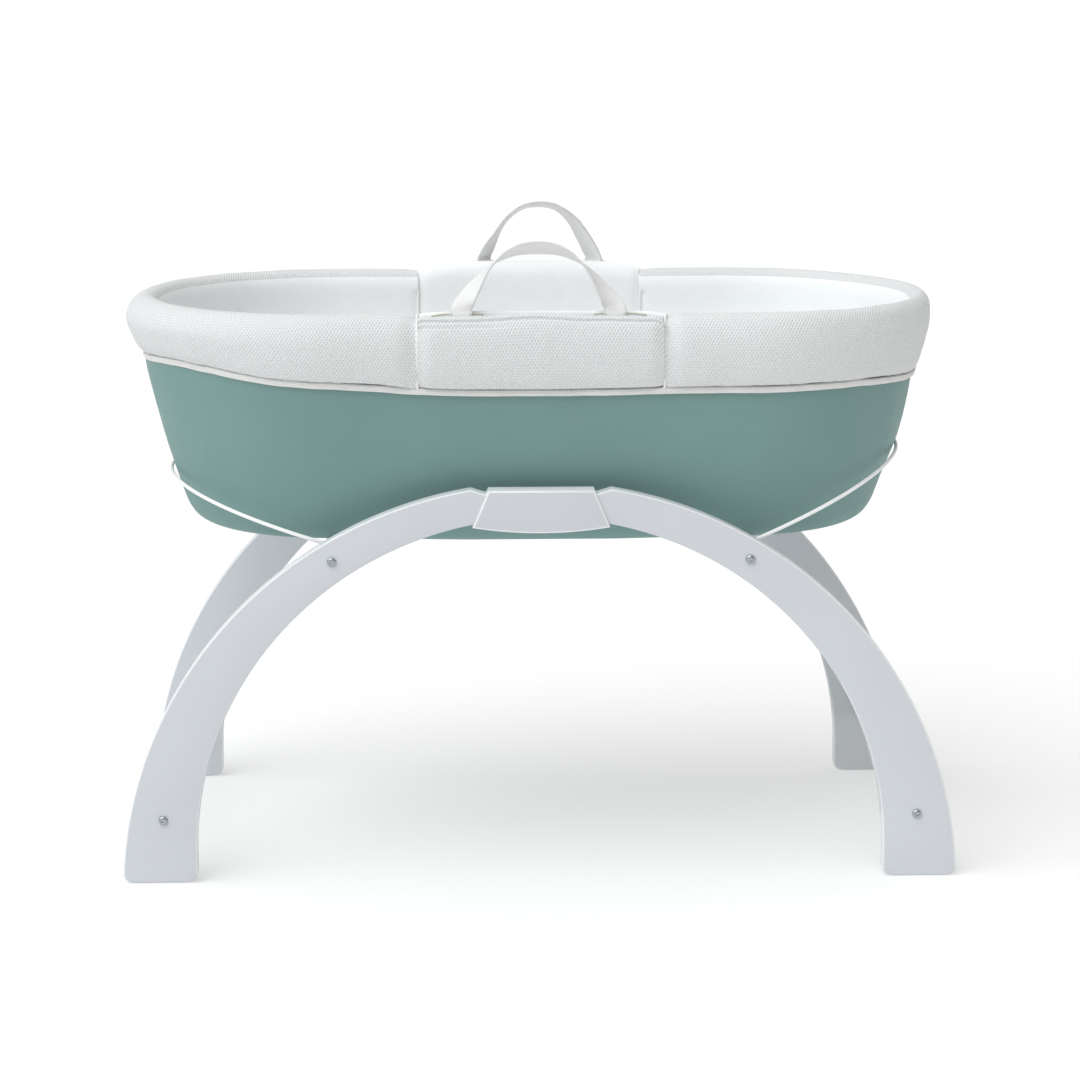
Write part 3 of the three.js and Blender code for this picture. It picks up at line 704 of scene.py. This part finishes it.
def build_stand():
    """Leg boards with their bolts, bridges with their screws, rails and hoops."""
    outline = leg_outline()
    for face, y_sign in FACES.items():
        middle_y = y_sign * BOARD_MID_Y
        for side, x_sign in SIDES.items():
            name = f"{face}_{side}"
            leg = plate(f"{name}_leg_board", [(x * x_sign, z) for x, z in outline], middle_y,
                        BOARD_HALF, BOARD_EDGE, LACQUER, PAINTED_HIGHLIGHT_LACQUER, rim_highlight_below=False)
            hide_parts(f"{name}_leg")
            for level, (x, z) in RAILS.items():
                bolt(f"{name}_{level}_bolt_head", f"{name}_{level}_bolt", x_sign * x, z,
                     y_sign * BOARD_FACE_Y, y_sign, **RAIL_BOLT)
            bolt(f"{name}_bridge_screw_head", f"{name}_bridge_screw", x_sign * SCREW_X, SCREW_Z,
                 y_sign * (BOARD_MID_Y - BRIDGE_HALF), -y_sign, **BRIDGE_SCREW)
        bridge = plate(f"{face}_bridge_sleeve", bridge_outline(), middle_y, BRIDGE_HALF,
                       BRIDGE_EDGE, MOULDED_WHITE, PAINTED_HIGHLIGHT_MOULDING, 5)
        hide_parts(f"{face}_bridge")
    for side, x_sign in SIDES.items():
        for level, (x, z) in RAILS.items():
            half = BOARD_INNER_Y - 0.3
            profile = [(5, -half + 0.5), (5.5, -half), (7.5, -half), (8, -half + 0.5),
                       (8, -half + 4)]
            ends = profile + [(r, -d) for r, d in reversed(profile)]
            rail = turned(f"{side}_{level}_rail_tube", [(r, d, False) for r, d in ends + ends[:1]],
                          Vector((x_sign * x, 0, z)), Vector((0, 1, 0)), Vector((1, 0, 0)), POWDER,
                          "stand")
            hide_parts(f"{side}_{level}_rail")
        hoop = tube(f"{side}_hoop_wire", hoop_path(side), HOOP_WIRE_R, POWDER, "stand")
        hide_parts(f"{side}_hoop")


def hoop_path(side, steps=40):
    """Out of the front board, over the upper rail, round the basket's end and back."""
    end_x, end_z = HOOP_ENDS[side]
    rail_z, hoop_y, roundness = 324.3, 172, 2.2
    rail_x = RAILS["upper"][0]
    slope = (end_z - rail_z) / (end_x - rail_x)
    half = [(180, 191, 319), (180, 186, 319), (180, 180, 319), (181.6, 175, 319.5),
            (187, 172.4, 321.3)]
    for i in range(steps + 1):
        angle = HALF_PI * (1 - i / steps)
        along = max(0, math.cos(angle)) ** (2 / roundness)
        across = math.sin(angle) ** (2 / roundness)
        reach = (end_x - rail_x) * along
        half.append((rail_x + reach, hoop_y * across, rail_z + slope * reach))
    points = [(x, -y, z) for x, y, z in half] + half[-2::-1]
    return [Vector((SIDES[side] * p.x, p.y, p.z)) for p in spline(points, 3)]


# ---- Basket shell ----


def build_shell():
    """Moulded shell with a rolled rim, a soft bottom edge and a slightly sagging middle."""
    outer = [(p.x, p.y) for p in spline(SHELL_SIDE, 7)]
    inner = []
    for i, (w, z) in enumerate(outer):
        before, after = Vector(outer[max(i - 1, 0)]), Vector(outer[min(i + 1, len(outer) - 1)])
        run = (after - before).normalized()
        inner.append((w - SHELL_T * run.y, z + SHELL_T * run.x))
    rim_w, rim_z = outer[-1][0] - SHELL_T / 2, RIM_Z - 1.5
    rim = [(rim_w + SHELL_T / 2 * math.cos(a), rim_z + SHELL_T / 2 * math.sin(a))
           for a in (math.pi * k / 8 for k in range(1, 8))]
    outer[-1] = (outer[-1][0], rim_z)
    inner[-1] = (inner[-1][0], rim_z)
    flat_low = [(w, SHELL_LOW_Z) for w in (40, 85, 113)]
    flat_top = [(w, inner[0][1]) for w in (108, 80, 38)]
    section = flat_low + outer + rim + inner[::-1] + flat_top
    sag = 2.2
    stations, us = ring_stations()
    rows = []
    for x, angle, _ in stations:
        row = []
        for w, z in section:
            w -= squeeze(angle, z) * smooth(w, 60, 140)
            p = place(x, angle, w, z)
            p.z -= sag * (1 - smooth(abs(p.x), 60, 186)) * (1 - smooth(z, 324, 345))
            row.append(p)
        rows.append(row)
    shell = ring_skin("shell_moulding", rows, us, SAGE, "basket", 60)
    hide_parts("shell")


# ---- Liner ----

WALL_CLEAR = 0.8
WALL_T = 8
WALL_LOW_Z = 336
WALL_INSIDE = [(shell_at(z) - SHELL_T - WALL_CLEAR - WALL_T, z)
               for z in (WALL_LOW_Z, 346, 380, 420, 460, 500)]
# The padding's roll over the rim, from the inner wall to the skirt's lower edge.
ROLL = [(173.6, 526), (175, 537), (179.5, 544), (186, 547), (191.5, 546), (198.2, 540.5),
        (202.6, 530), (203.8, 517), (201.8, 502), (197.6, 488), (192.6, 479)]
ROLL_STEPS = 6
OVERHANG_Z = 478.5  # where the skirt's lower edge is before the hem lifts it
SKIRT_TOP_Z = 530
# How much leaner the skirt's right end is: height and distance.
LEAN_SKIRT = [(478, -8.6), (492, -10.2), (505, -9.8), (517, -8.4), (530, -6.8), (545, -3)]
PANEL_TOP_Z = 546.5
INNER_TOP_Z = 549.7


def skirt_height(z, low):
    """The skirt's heights, shortened or lengthened so that it ends at low."""
    if z > SKIRT_TOP_Z:
        return z
    return SKIRT_TOP_Z - (SKIRT_TOP_Z - z) * (SKIRT_TOP_Z - low) / (SKIRT_TOP_Z - OVERHANG_Z)


def build_liner_end(side_name, side):
    """Padded end: inner wall, crown and skirt in one piece, gathered over the hem."""
    stations = end_stations(side)
    total = stations[-1][2]
    wall = spline(WALL_INSIDE + ROLL, ROLL_STEPS)
    wall_end = len(WALL_INSIDE) * ROLL_STEPS
    lengths = run_lengths(wall)
    # The hidden side: up behind the skirt, over the shell's rim and down inside the shell.
    behind_skirt = [(shell_at(z) + 0.9, z) for z in (482, 505, 520)]
    over_rim = [(shell_at(RIM_Z) + w, RIM_Z + 1.2) for w in (1.4, -SHELL_T - 1.2)]
    inside_shell = [(shell_at(z) - SHELL_T - 0.9, z) for z in (505, 460, 420, 380, 346)]
    back = behind_skirt + over_rim + inside_shell + [
        (shell_at(WALL_LOW_Z) - SHELL_T - 2.2, WALL_LOW_Z)]
    rows = []
    for x, angle, run in stations:
        low = hem_low(place(x, angle, RIM_W, 0)) + HEM_H + 0.4
        low += 0.8 * max(0.0, ripple(run, 40 + side, 9))
        seam = min(run, total - run)
        turn = max(0.0, side * math.cos(angle))
        row = []
        for i, (w, z) in enumerate(wall):
            if i >= wall_end:
                # Fuller at the left end, leaner at the right end.
                outward = smooth(i, wall_end + 16, wall_end + 30)
                if side < 0:
                    w += 3.6 * turn * outward * bell(z - 528, 18)
                    w += 1.0 * turn * outward
                else:
                    w += turn * outward * lookup(LEAN_SKIRT, z)
                z = skirt_height(z, low)
                above = z - low
                # Small gathers just over the stitching, and slow slack in the padding.
                gather = max(0.0, noise.noise(Vector((run / 7.5, 3.1 * side, 0.4))))
                outward = smooth(w, 186, 196)
                w += outward * (
                    2.2 * gather * fade(above - 1, 7)
                    + 1.1 * ripple(run, 2 + side, 26) * fade(above, 16)
                    + 0.7 * ripple(run + above * 0.6, 5 + side, 60)
                )
                z += 0.8 * ripple(run, 9 + side, 45) * bell(w - 186, 12)
                pull = bell(seam, 11)
                w -= outward * 5.6 * pull
                z -= 1.6 * pull * bell(w - 188, 11)
            else:
                w -= 0.7 * ripple(run, 3 + side, 70) * smooth(z, 350, 380)
                w += 2.2 * bell(seam, 6)
                if side > 0:
                    w -= 4.0 * turn * (1 - smooth(z, 400, 445))
            row.append(place(x, angle, w, z))
        for i, (w, z) in enumerate(back):
            if i < len(behind_skirt):
                z = max(z, low + 2.5 + 6 * i)
            if side > 0 or i < len(behind_skirt):
                w -= squeeze(angle, z)
            row.append(place(x, angle, w, z))
        rows.append(row)
    us = [run for _, _, run in stations]
    vs = lengths + [lengths[-1] + 3 + 14 * k for k in range(len(back) + 1)]
    end = skin(f"liner_{side_name}_end_cover", rows, AIR_MESH, "basket", us=us, vs=vs, caps=True,
               inside=(wall_end + 8, AIR_MESH_LIT_INSIDE))
    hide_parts(f"liner_{side_name}_end")


def crown_of(face, x):
    """Height of an outer centre panel's top edge, or of the rear inner one's, along it."""
    if face == "rear":
        return 547.2 + 8.0 * (1 - abs(x / SEAM_X) ** 5)
    return 545.2 + 3.2 * bell(x + 6, 42) + 0.6 * ripple(x, 4, 30)


def inner_crown(face, x):
    """Height of an inner centre panel's crown, along it."""
    if face == "rear":
        return crown_of(face, x)
    return 547.4 + 2.2 * (1 - abs(x / SEAM_X) ** 4)


def panel_stations(count=116):
    """Stations along a centre panel: x and distance from its left seam."""
    xs = [-PANEL_HALF + 2 * PANEL_HALF * k / count for k in range(count + 1)]
    return [(x, x + SEAM_X) for x in xs]


def corner_drop(share):
    """Drop of a round corner, from 0 where it starts to 1 at its end."""
    return 1 - math.sqrt(1 - max(0.0, share) ** 2)


def build_outer_panel(face, side):
    """Flap over the strap ends: hemmed along its top and tucked into the binding below."""
    rows = []
    height = 67
    outer = spline([(193.6, -1.2), (195.4, 0.2), (197.2, 0), (199.8, -3), (203.4, -10),
                    (205.0, -22.5), (203.6, -40), (199.2, -56), (192.8, -height)], 8)
    lengths = run_lengths(outer)
    back = [(shell_at(z) + 4.2, z) for z in (483, 505, 530)] + [(192.4, PANEL_TOP_Z - 6)]
    for x, run in panel_stations():
        low = hem_low(Vector((x, 0, 0))) + HEM_H + 0.8
        crown = crown_of(face, x) + (-6 if face == "rear" else 0)
        # Rounded corners, the right one larger.
        crown -= 9 * corner_drop((x - 102) / 14) + 3 * corner_drop((-x - 110) / 6)
        edge = SEAM_X - abs(x)
        stretch = (crown - low) / height
        # Two sewn lines under the top edge, the second one only on the left.
        line = 9.5 + 0.9 * ripple(x, 6, 34) + 0.6 * ripple(x, 8, 11)
        second = 15.0 + 1.2 * ripple(x, 11, 28)
        row = []
        for length, (w, drop) in zip(lengths, outer):
            z = crown + drop * stretch
            w -= 1.5 * bell(length - line, 1.1)
            w -= 1.0 * bell(length - second, 1.2) * (1 - smooth(x, -60, -20))
            w += 0.9 * bell(length - 5.5, 2.2)
            above = z - low
            w += 1.0 * ripple(run, 12, 30) * fade(above, 18) * smooth(-drop, 4, 16)
            w += 1.7 * ripple(run + 0.5 * above, 13, 48) * smooth(-drop, 4, 16)
            w += 1.2 * max(0, ripple(run, 14, 7)) * fade(above, 6)
            w -= 4.6 * bell(edge, 8) * smooth(-drop, 2, 14)
            row.append(Vector((x, side * w, z)))
        for w, z in back:
            row.append(Vector((x, side * w, min(crown - 4, max(z, low + 2)))))
        rows.append(row)
    us = [run for _, run in panel_stations()]
    vs = lengths + [lengths[-1] + 5 + 20 * k for k in range(len(back) + 1)]
    panel = skin(f"liner_{face}_panel_cover", rows, AIR_MESH, "basket", us=us, vs=vs, caps=True)
    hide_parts(f"liner_{face}_panel")


def build_inner_panel(face, side):
    """The wall between the seams, with the crown inside the strap slots."""
    rows = []
    top = [(173.6, -23.5), (174.4, -11), (178.4, -3), (183.5, 0), (187.4, -0.6), (188.9, -3.2)]
    section = spline([(w, z - INNER_TOP_Z) for w, z in WALL_INSIDE] + top, 7)
    lengths = run_lengths(section)
    back = [(188.9, INNER_TOP_Z - 10)] + [
        (shell_at(z) - SHELL_T - 2.6, z) for z in (530, 505, 460, 420, 380, 346, WALL_LOW_Z)]
    for x, run in panel_stations():
        crown = inner_crown(face, x)
        edge = SEAM_X - abs(x)
        row = []
        for w, drop in section:
            blend = smooth(drop, -60, -20)
            z = (INNER_TOP_Z + drop) * (1 - blend) + (crown + drop) * blend
            w -= 0.6 * ripple(run, 15 + side, 60) * smooth(z, 350, 380) * (1 - smooth(w, 176, 180))
            w += 2.4 * bell(edge, 7) * (1 - smooth(w, 174, 182))
            z -= 1.2 * bell(edge, 6) * smooth(w, 172, 180)
            row.append(Vector((x, side * w, z)))
        for w, z in back:
            row.append(Vector((x, side * w, min(z, crown - 8))))
        rows.append(row)
    us = [run for _, run in panel_stations()]
    vs = lengths + [lengths[-1] + 12 * (k + 1) for k in range(len(back) + 1)]
    panel = skin(f"liner_{face}_inner_cover", rows, AIR_MESH_LIT_INSIDE, "basket", us=us, vs=vs,
                 caps=True)
    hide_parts(f"liner_{face}_inner")


def build_seams():
    """Taped seams between the end pieces and the centre panels, down the wall and the skirt."""
    for face, y_sign in FACES.items():
        for side_name, side in SIDES.items():
            low = hem_low(Vector((side * SEAM_X, 0, 0))) + 3
            inside = [(w + 2.0, z) for w, z in WALL_INSIDE]
            inside += [(175.0, 526), (176.4, 535.5), (180.6, 542.4)]
            outside = [(w - 5.2 * smooth(w, 188, 198), skirt_height(z, low + HEM_H))
                       for w, z in ROLL[3:]]
            path = [(w, z - 0.6) for w, z in inside + outside] + [(189.6, low + 3)]
            points = [Vector((side * SEAM_X + 0.4 * ripple(z, 21 + side, 25), y_sign * w, z))
                      for w, z in path]
            tape = tube(f"{face}_{side_name}_seam_tape", spline(points, 5), 1.15, TAPE, "basket",
                        10)


def build_slots():
    """Taped edges of the strap slots, along the crown of the inner panels."""
    for face, y_sign in FACES.items():
        for side_name in SIDES:
            middle = HANDLES[face][side_name] + {"left": -3, "right": 5}[side_name]
            points = []
            for k in range(9):
                x = middle - 24 + 6 * k
                z = inner_crown(face, x) - 1.2
                points.append(Vector((x, y_sign * 188.2, z - 1.5 * abs(k - 4) ** 3 / 64)))
            tape = tube(f"{face}_{side_name}_slot_tape", spline(points, 4), 1.3, SLOT_TAPE,
                        "basket", 10)


def hem_base(angle, z):
    """Where the binding starts, out from the spine; it beds into the fuller left end."""
    drawn = squeeze(angle, z)
    return shell_at(z) - (drawn if drawn > 0 else 0.35 * drawn)


def build_hem():
    """Elastic binding: drawn up unevenly, with small puckers."""
    stations, us = ring_stations(150, 96)
    rows = []
    for x, angle, run in stations:
        low = hem_low(place(x, angle, RIM_W, 0))
        turn = math.cos(angle)
        slim = 1.6 * max(0.0, turn)
        pucker = ripple(run, 30, 8)
        wave = 0.5 * ripple(run, 31, 21)
        seam = bell(abs(x) - SEAM_X, 9) if abs(turn) < 1e-3 else 0
        section = []
        for k in range(16):
            a = TAU * k / 16 - math.pi * 0.75
            c, s = math.cos(a), math.sin(a)
            c = math.copysign(abs(c) ** 0.6, c)
            s = math.copysign(abs(s) ** 0.6, s)
            thick = 1.8 - 0.4 * slim + 0.35 * pucker + 0.7 * seam
            w = 2.8 - 0.4 * slim + thick * c
            z = HEM_H / 2 + HEM_H / 2 * s + wave
            w -= 0.5 * smooth(s, 0.2, 1.0)
            section.append((max(w, 0.7), low + z))
        rows.append([place(x, angle, hem_base(angle, z) + w, z) for w, z in section])
    hem = skin("hem_binding_band", rows, BINDING, "basket", us=us, round_rows=True)
    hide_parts("hem_elastic")
    build_stitches(stations, us[-1])


def build_stitches(stations, length, pitch=4.2):
    """Short stitches along the top of the binding, each dipping in at its two ends."""
    verts, faces, uvs = [], [], []
    up = Vector((0, 0, 1))
    end, index = 1.3, 0
    for k in range(int(length / pitch)):
        while index + 1 < len(stations) and stations[index + 1][2] <= (k + 0.5) * pitch:
            index += 1
        x, angle, run = stations[index]
        next_x, next_angle, _ = stations[(index + 1) % len(stations)]
        z = hem_low(place(x, angle, RIM_W, 0)) + HEM_H - 1.3 + 0.5 * ripple(run, 31, 21)
        w = hem_base(angle, z) + 4.3 - 0.6 * max(0.0, math.cos(angle))
        centre = place(x, angle, w, z)
        ahead = (place(next_x, next_angle, w, z) - centre).normalized()
        out = Vector((math.cos(angle), math.sin(angle), 0))
        base = len(verts)
        for along, fat, dip in ((-end, 0.15, 0.25), (-0.7, 0.42, 0), (0.7, 0.42, 0),
                                (end, 0.15, 0.25)):
            for c, s in ((1, 0), (0, 1), (-1, 0), (0, -1)):
                verts.append(centre + ahead * along + out * fat * c + up * fat * s - out * dip)
        for r in range(3):
            for c in range(4):
                a, b = base + r * 4 + c, base + r * 4 + (c + 1) % 4
                faces.append((a, b, b + 4, a + 4))
                uvs += [(c, end), (c + 1, end), (c + 1, end + 1), (c, end + 1)]
        faces.append(tuple(base + c for c in range(4)))
        faces.append(tuple(base + 12 + c for c in range(3, -1, -1)))
        uvs += [(0, 0)] * 8
    stitches = finish_mesh("hem_stitches", verts, faces, uvs, TAPE, "basket")


# ---- Straps ----

STRAP_ARCH = [(1, 0), (0.83, 0.34), (0.6, 0.71), (0.31, 0.94), (0, 1)]


def by_length(points, count):
    """The same curve with evenly spaced points."""
    runs = run_lengths(points)
    out, k = [], 0
    for i in range(count + 1):
        at = runs[-1] * i / count
        while k + 2 < len(runs) and runs[k + 1] < at:
            k += 1
        share = (at - runs[k]) / max(1e-9, runs[k + 1] - runs[k])
        out.append(points[k].lerp(points[k + 1], min(1, share)))
    return out


def build_strap(face, shape):
    """One strap: an arch of webbing that twists from slot to slot and bends at its ends."""
    side, slot_z = shape["side"], shape["slot"]
    base_z = slot_z + 1.3
    middle_x, half = (shape["left"] + shape["right"]) / 2, (shape["right"] - shape["left"]) / 2

    def at(reach, height):
        return Vector((middle_x + half * reach, side * (STRAP_Y - shape["lean"] * height),
                       base_z + (shape["apex"] - base_z) * height))

    control = [at(-r, h) for r, h in STRAP_ARCH] + [at(r, h) for r, h in reversed(STRAP_ARCH[:-1])]
    path = by_length(spline(control, 24), 90)
    twist = [(p.x, p.y) for p in spline(shape["twist"], 6)]
    rows = []
    for i, middle in enumerate(path):
        u = i / (len(path) - 1)
        turned_by = math.radians(lookup(twist, u))
        ahead = (path[min(i + 1, len(path) - 1)] - path[max(i - 1, 0)]).normalized()
        level = smooth(min(u, 1 - u), 0.0, 0.08)
        upright = Vector((0, 0, 1 if u < 0.5 else -1))
        ahead = (ahead * level + upright * (1 - level)).normalized()
        away = ahead.cross(Vector((0, 1, 0))).normalized()
        across = math.cos(turned_by) * away + math.sin(turned_by) * ahead.cross(away)
        through = across.cross(ahead).normalized()
        rows.append(ribbon_section(middle, across, through))
    # Both ends run down into their slots.
    first, last = ([[p - Vector((0, 0, drop)) for p in row] for drop in (3, 6.5)]
                   for row in (rows[0], rows[-1]))
    rows = first[::-1] + rows + last
    vs = [min(k, len(rows[0]) - k) * 2.0 for k in range(len(rows[0]) + 1)]
    strap = skin(f"{face}_strap", rows, WEBBING, None, vs=vs, caps=True)
    # UVs: across the strap in u, along it in v.
    layer = strap.data.uv_layers["UVMap"]
    for loop in layer.data:
        loop.uv = (loop.uv[1], loop.uv[0])
    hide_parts(f"{face}_handle")
    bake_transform(strap)


def ribbon_section(middle, across, through):
    """Outline of flat webbing with rounded, slightly thicker selvedges."""
    edge, thick = 0.9, STRAP_T / 2
    flat = STRAP_W / 2 - edge
    half = [(s * flat, thick * (0.86 + 0.14 * abs(s) ** 4))
            for s in (k / 4 - 1 for k in range(9))]
    half += [(flat + edge * math.cos(a), thick * math.sin(a))
             for a in map(math.radians, (60, 20, -20, -60))]
    outline = half + [(-s, -t) for s, t in half]
    return [middle + across * s + through * t for s, t in outline]


# ---- Mattress and floor ----


def build_mattress():
    """Crowned, quilted pad with piped edges, flat where it lies on the liner's floor."""
    low, top = 333.4, 373.4
    crown_w, crown_h, quilt = 124, 3.0, 80
    side_profile = spline([(118, low), (127, low + 2.4), (132, low + 9), (136.6, low + 19),
                           (138.6, low + 28), (137, top - 5.5), (131, top - 1.2), (crown_w, top)],
                          6)
    crown = [(w, top + crown_h * (1 - (w / crown_w) ** 2)) for w in (112, 98, 82, 64, 46, 28, 12)]
    base = [(w, low) for w in (12, 40, 70, 98)]
    section = base + [tuple(p) for p in side_profile] + crown
    stations, us = ring_stations(56, 60)
    rows = []
    for x, angle, run in stations:
        row = []
        for w, z in section:
            swell = 0.8 * ripple(run, 40, 45) * smooth(z, low + 4, top - 2) * smooth(w, 100, 135)
            dimple = 1.4 * max(0, math.cos(TAU * x / quilt) * math.cos(TAU * w / quilt))
            row.append(place(x, angle, w + swell, z - (dimple if z > top else 0)))
        rows.append(row)
    pad = ring_skin("mattress_pad", rows, us, TICKING, "mattress")
    planar_uv(pad)
    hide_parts("mattress")
    up = Vector((0, 0, 1))
    for name, w, z in (("upper", 135.2, top - 3.0), ("lower", 130.4, low + 4.6)):
        loop = [place(x, angle, w, z + 0.3 * ripple(run, 44, 30)) for x, angle, run in stations]
        rows = []
        for i, here in enumerate(loop):
            ahead = (loop[(i + 1) % len(loop)] - loop[i - 1]).normalized()
            rows.append(circle(here, 1.7, 10, up, ahead.cross(up)))
        piping = skin(f"mattress_{name}_piping", rows, TAPE, "mattress", round_rows=True)


def build_floor():
    """The liner's floor: one sheet laid on the base board."""
    half = shell_at(331.4) - SHELL_T - 7
    stations, us = ring_stations(56, 60)
    across = (20, 60, 100, half - 1)
    section = [(w, 331.5) for w in across] + [(half, 332.1)] + [(w, 332.9) for w in across[::-1]]
    rows = [[place(x, angle, w, z + 0.08 * ripple(run + w, 50, 40)) for w, z in section]
            for x, angle, run in stations]
    sheet = ring_skin("liner_floor_sheet", rows, us, AIR_MESH, "basket")
    planar_uv(sheet)
    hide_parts("liner_floor")


# ---- Carried-over CAD nodes ----


def dress_cad_nodes():
    """Materials for the CAD nodes that stay: their names end in what they are."""
    looks = {"foot_pad": RUBBER, "insert": BRASS, "rivet": STEEL, "strap_tail": WEBBING,
             "base_board": FIBREBOARD}
    for name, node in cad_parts.items():
        for ending, material in looks.items():
            if name.endswith(ending):
                node.data.materials.clear()
                node.data.materials.append(material)


# ---- Studio ----


CAMERA_AT = (-0.1009, -3.168, 0.930)
CAMERA_DOWN = 11.35
CAMERA_TURN = -1.92
CAMERA_LENS = 107.0
KEY_TOWARD = (-0.48, -0.38, 0.79)
KEY_SPREAD = 64
FLOOR_REACH = 60


def build_camera(scene):
    data = bpy.data.cameras.new("camera")
    data.sensor_width = 36
    data.lens = CAMERA_LENS
    data.clip_end = 200
    camera = bpy.data.objects.new("camera", data)
    camera.location = CAMERA_AT
    camera.rotation_euler = (math.radians(90 - CAMERA_DOWN), 0, math.radians(CAMERA_TURN))
    scene.collection.objects.link(camera)
    scene.camera = camera


def build_lights(scene):
    """A dome that is brightest overhead, and a wide lamp from the upper left front."""
    world = bpy.data.worlds.new("studio")
    world.use_nodes = True
    nodes = Nodes(world.node_tree)
    background = nodes.tree.nodes["Background"]
    background.inputs["Color"].default_value = (1.0, 0.985, 0.955, 1)
    coords = nodes.node("ShaderNodeTexCoord").outputs["Generated"]
    height = nodes.node("ShaderNodeSeparateXYZ", {"Vector": coords}).outputs["Z"]
    dome = nodes.spread(height, 0, 1, 0.06, 0.82)
    # A thin bright band all round where the floor ends.
    band = nodes.spread(height, 0.03, 0.09, 0.9, 0)
    nodes.tree.links.new(nodes.math("ADD", dome, band), background.inputs["Strength"])
    scene.world = world

    key = bpy.data.lights.new("key", "SUN")
    key.energy = 2.2
    key.angle = math.radians(KEY_SPREAD)
    key.color = (0.95, 0.98, 1.0)
    lamp = bpy.data.objects.new("key", key)
    lamp.rotation_euler = Vector(KEY_TOWARD).to_track_quat("Z", "Y").to_euler()
    scene.collection.objects.link(lamp)


def build_studio_floor(scene):
    grey = (0.58, 0.58, 0.58)
    look = Look("studio_floor", grey, 0.9, Specular_IOR_Level=0.1,
                Emission_Color=(1, 1, 1, 1), Emission_Strength=0.40)
    look.color(look.noise(0.4, 2), (0.575, 0.575, 0.575), (0.585, 0.585, 0.585))
    corners = ((-1, -1), (1, -1), (1, 1), (-1, 1))
    mesh = bpy.data.meshes.new("floor")
    mesh.from_pydata([(x * FLOOR_REACH, y * FLOOR_REACH, 0) for x, y in corners],
                     [], [(0, 1, 2, 3)])
    mesh.materials.append(look.material)
    floor = bpy.data.objects.new("floor", mesh)
    scene.collection.objects.link(floor)


scene = bpy.context.scene
scene.view_settings.view_transform = "Standard"
build_camera(scene)
build_lights(scene)
build_studio_floor(scene)
build_stand()
build_shell()
for side_name, side in SIDES.items():
    build_liner_end(side_name, side)
for face, side in FACES.items():
    build_outer_panel(face, side)
    build_inner_panel(face, side)
build_seams()
build_slots()
build_hem()
for face, shape in HANDLES.items():
    build_strap(face, shape)
build_mattress()
build_floor()
dress_cad_nodes()
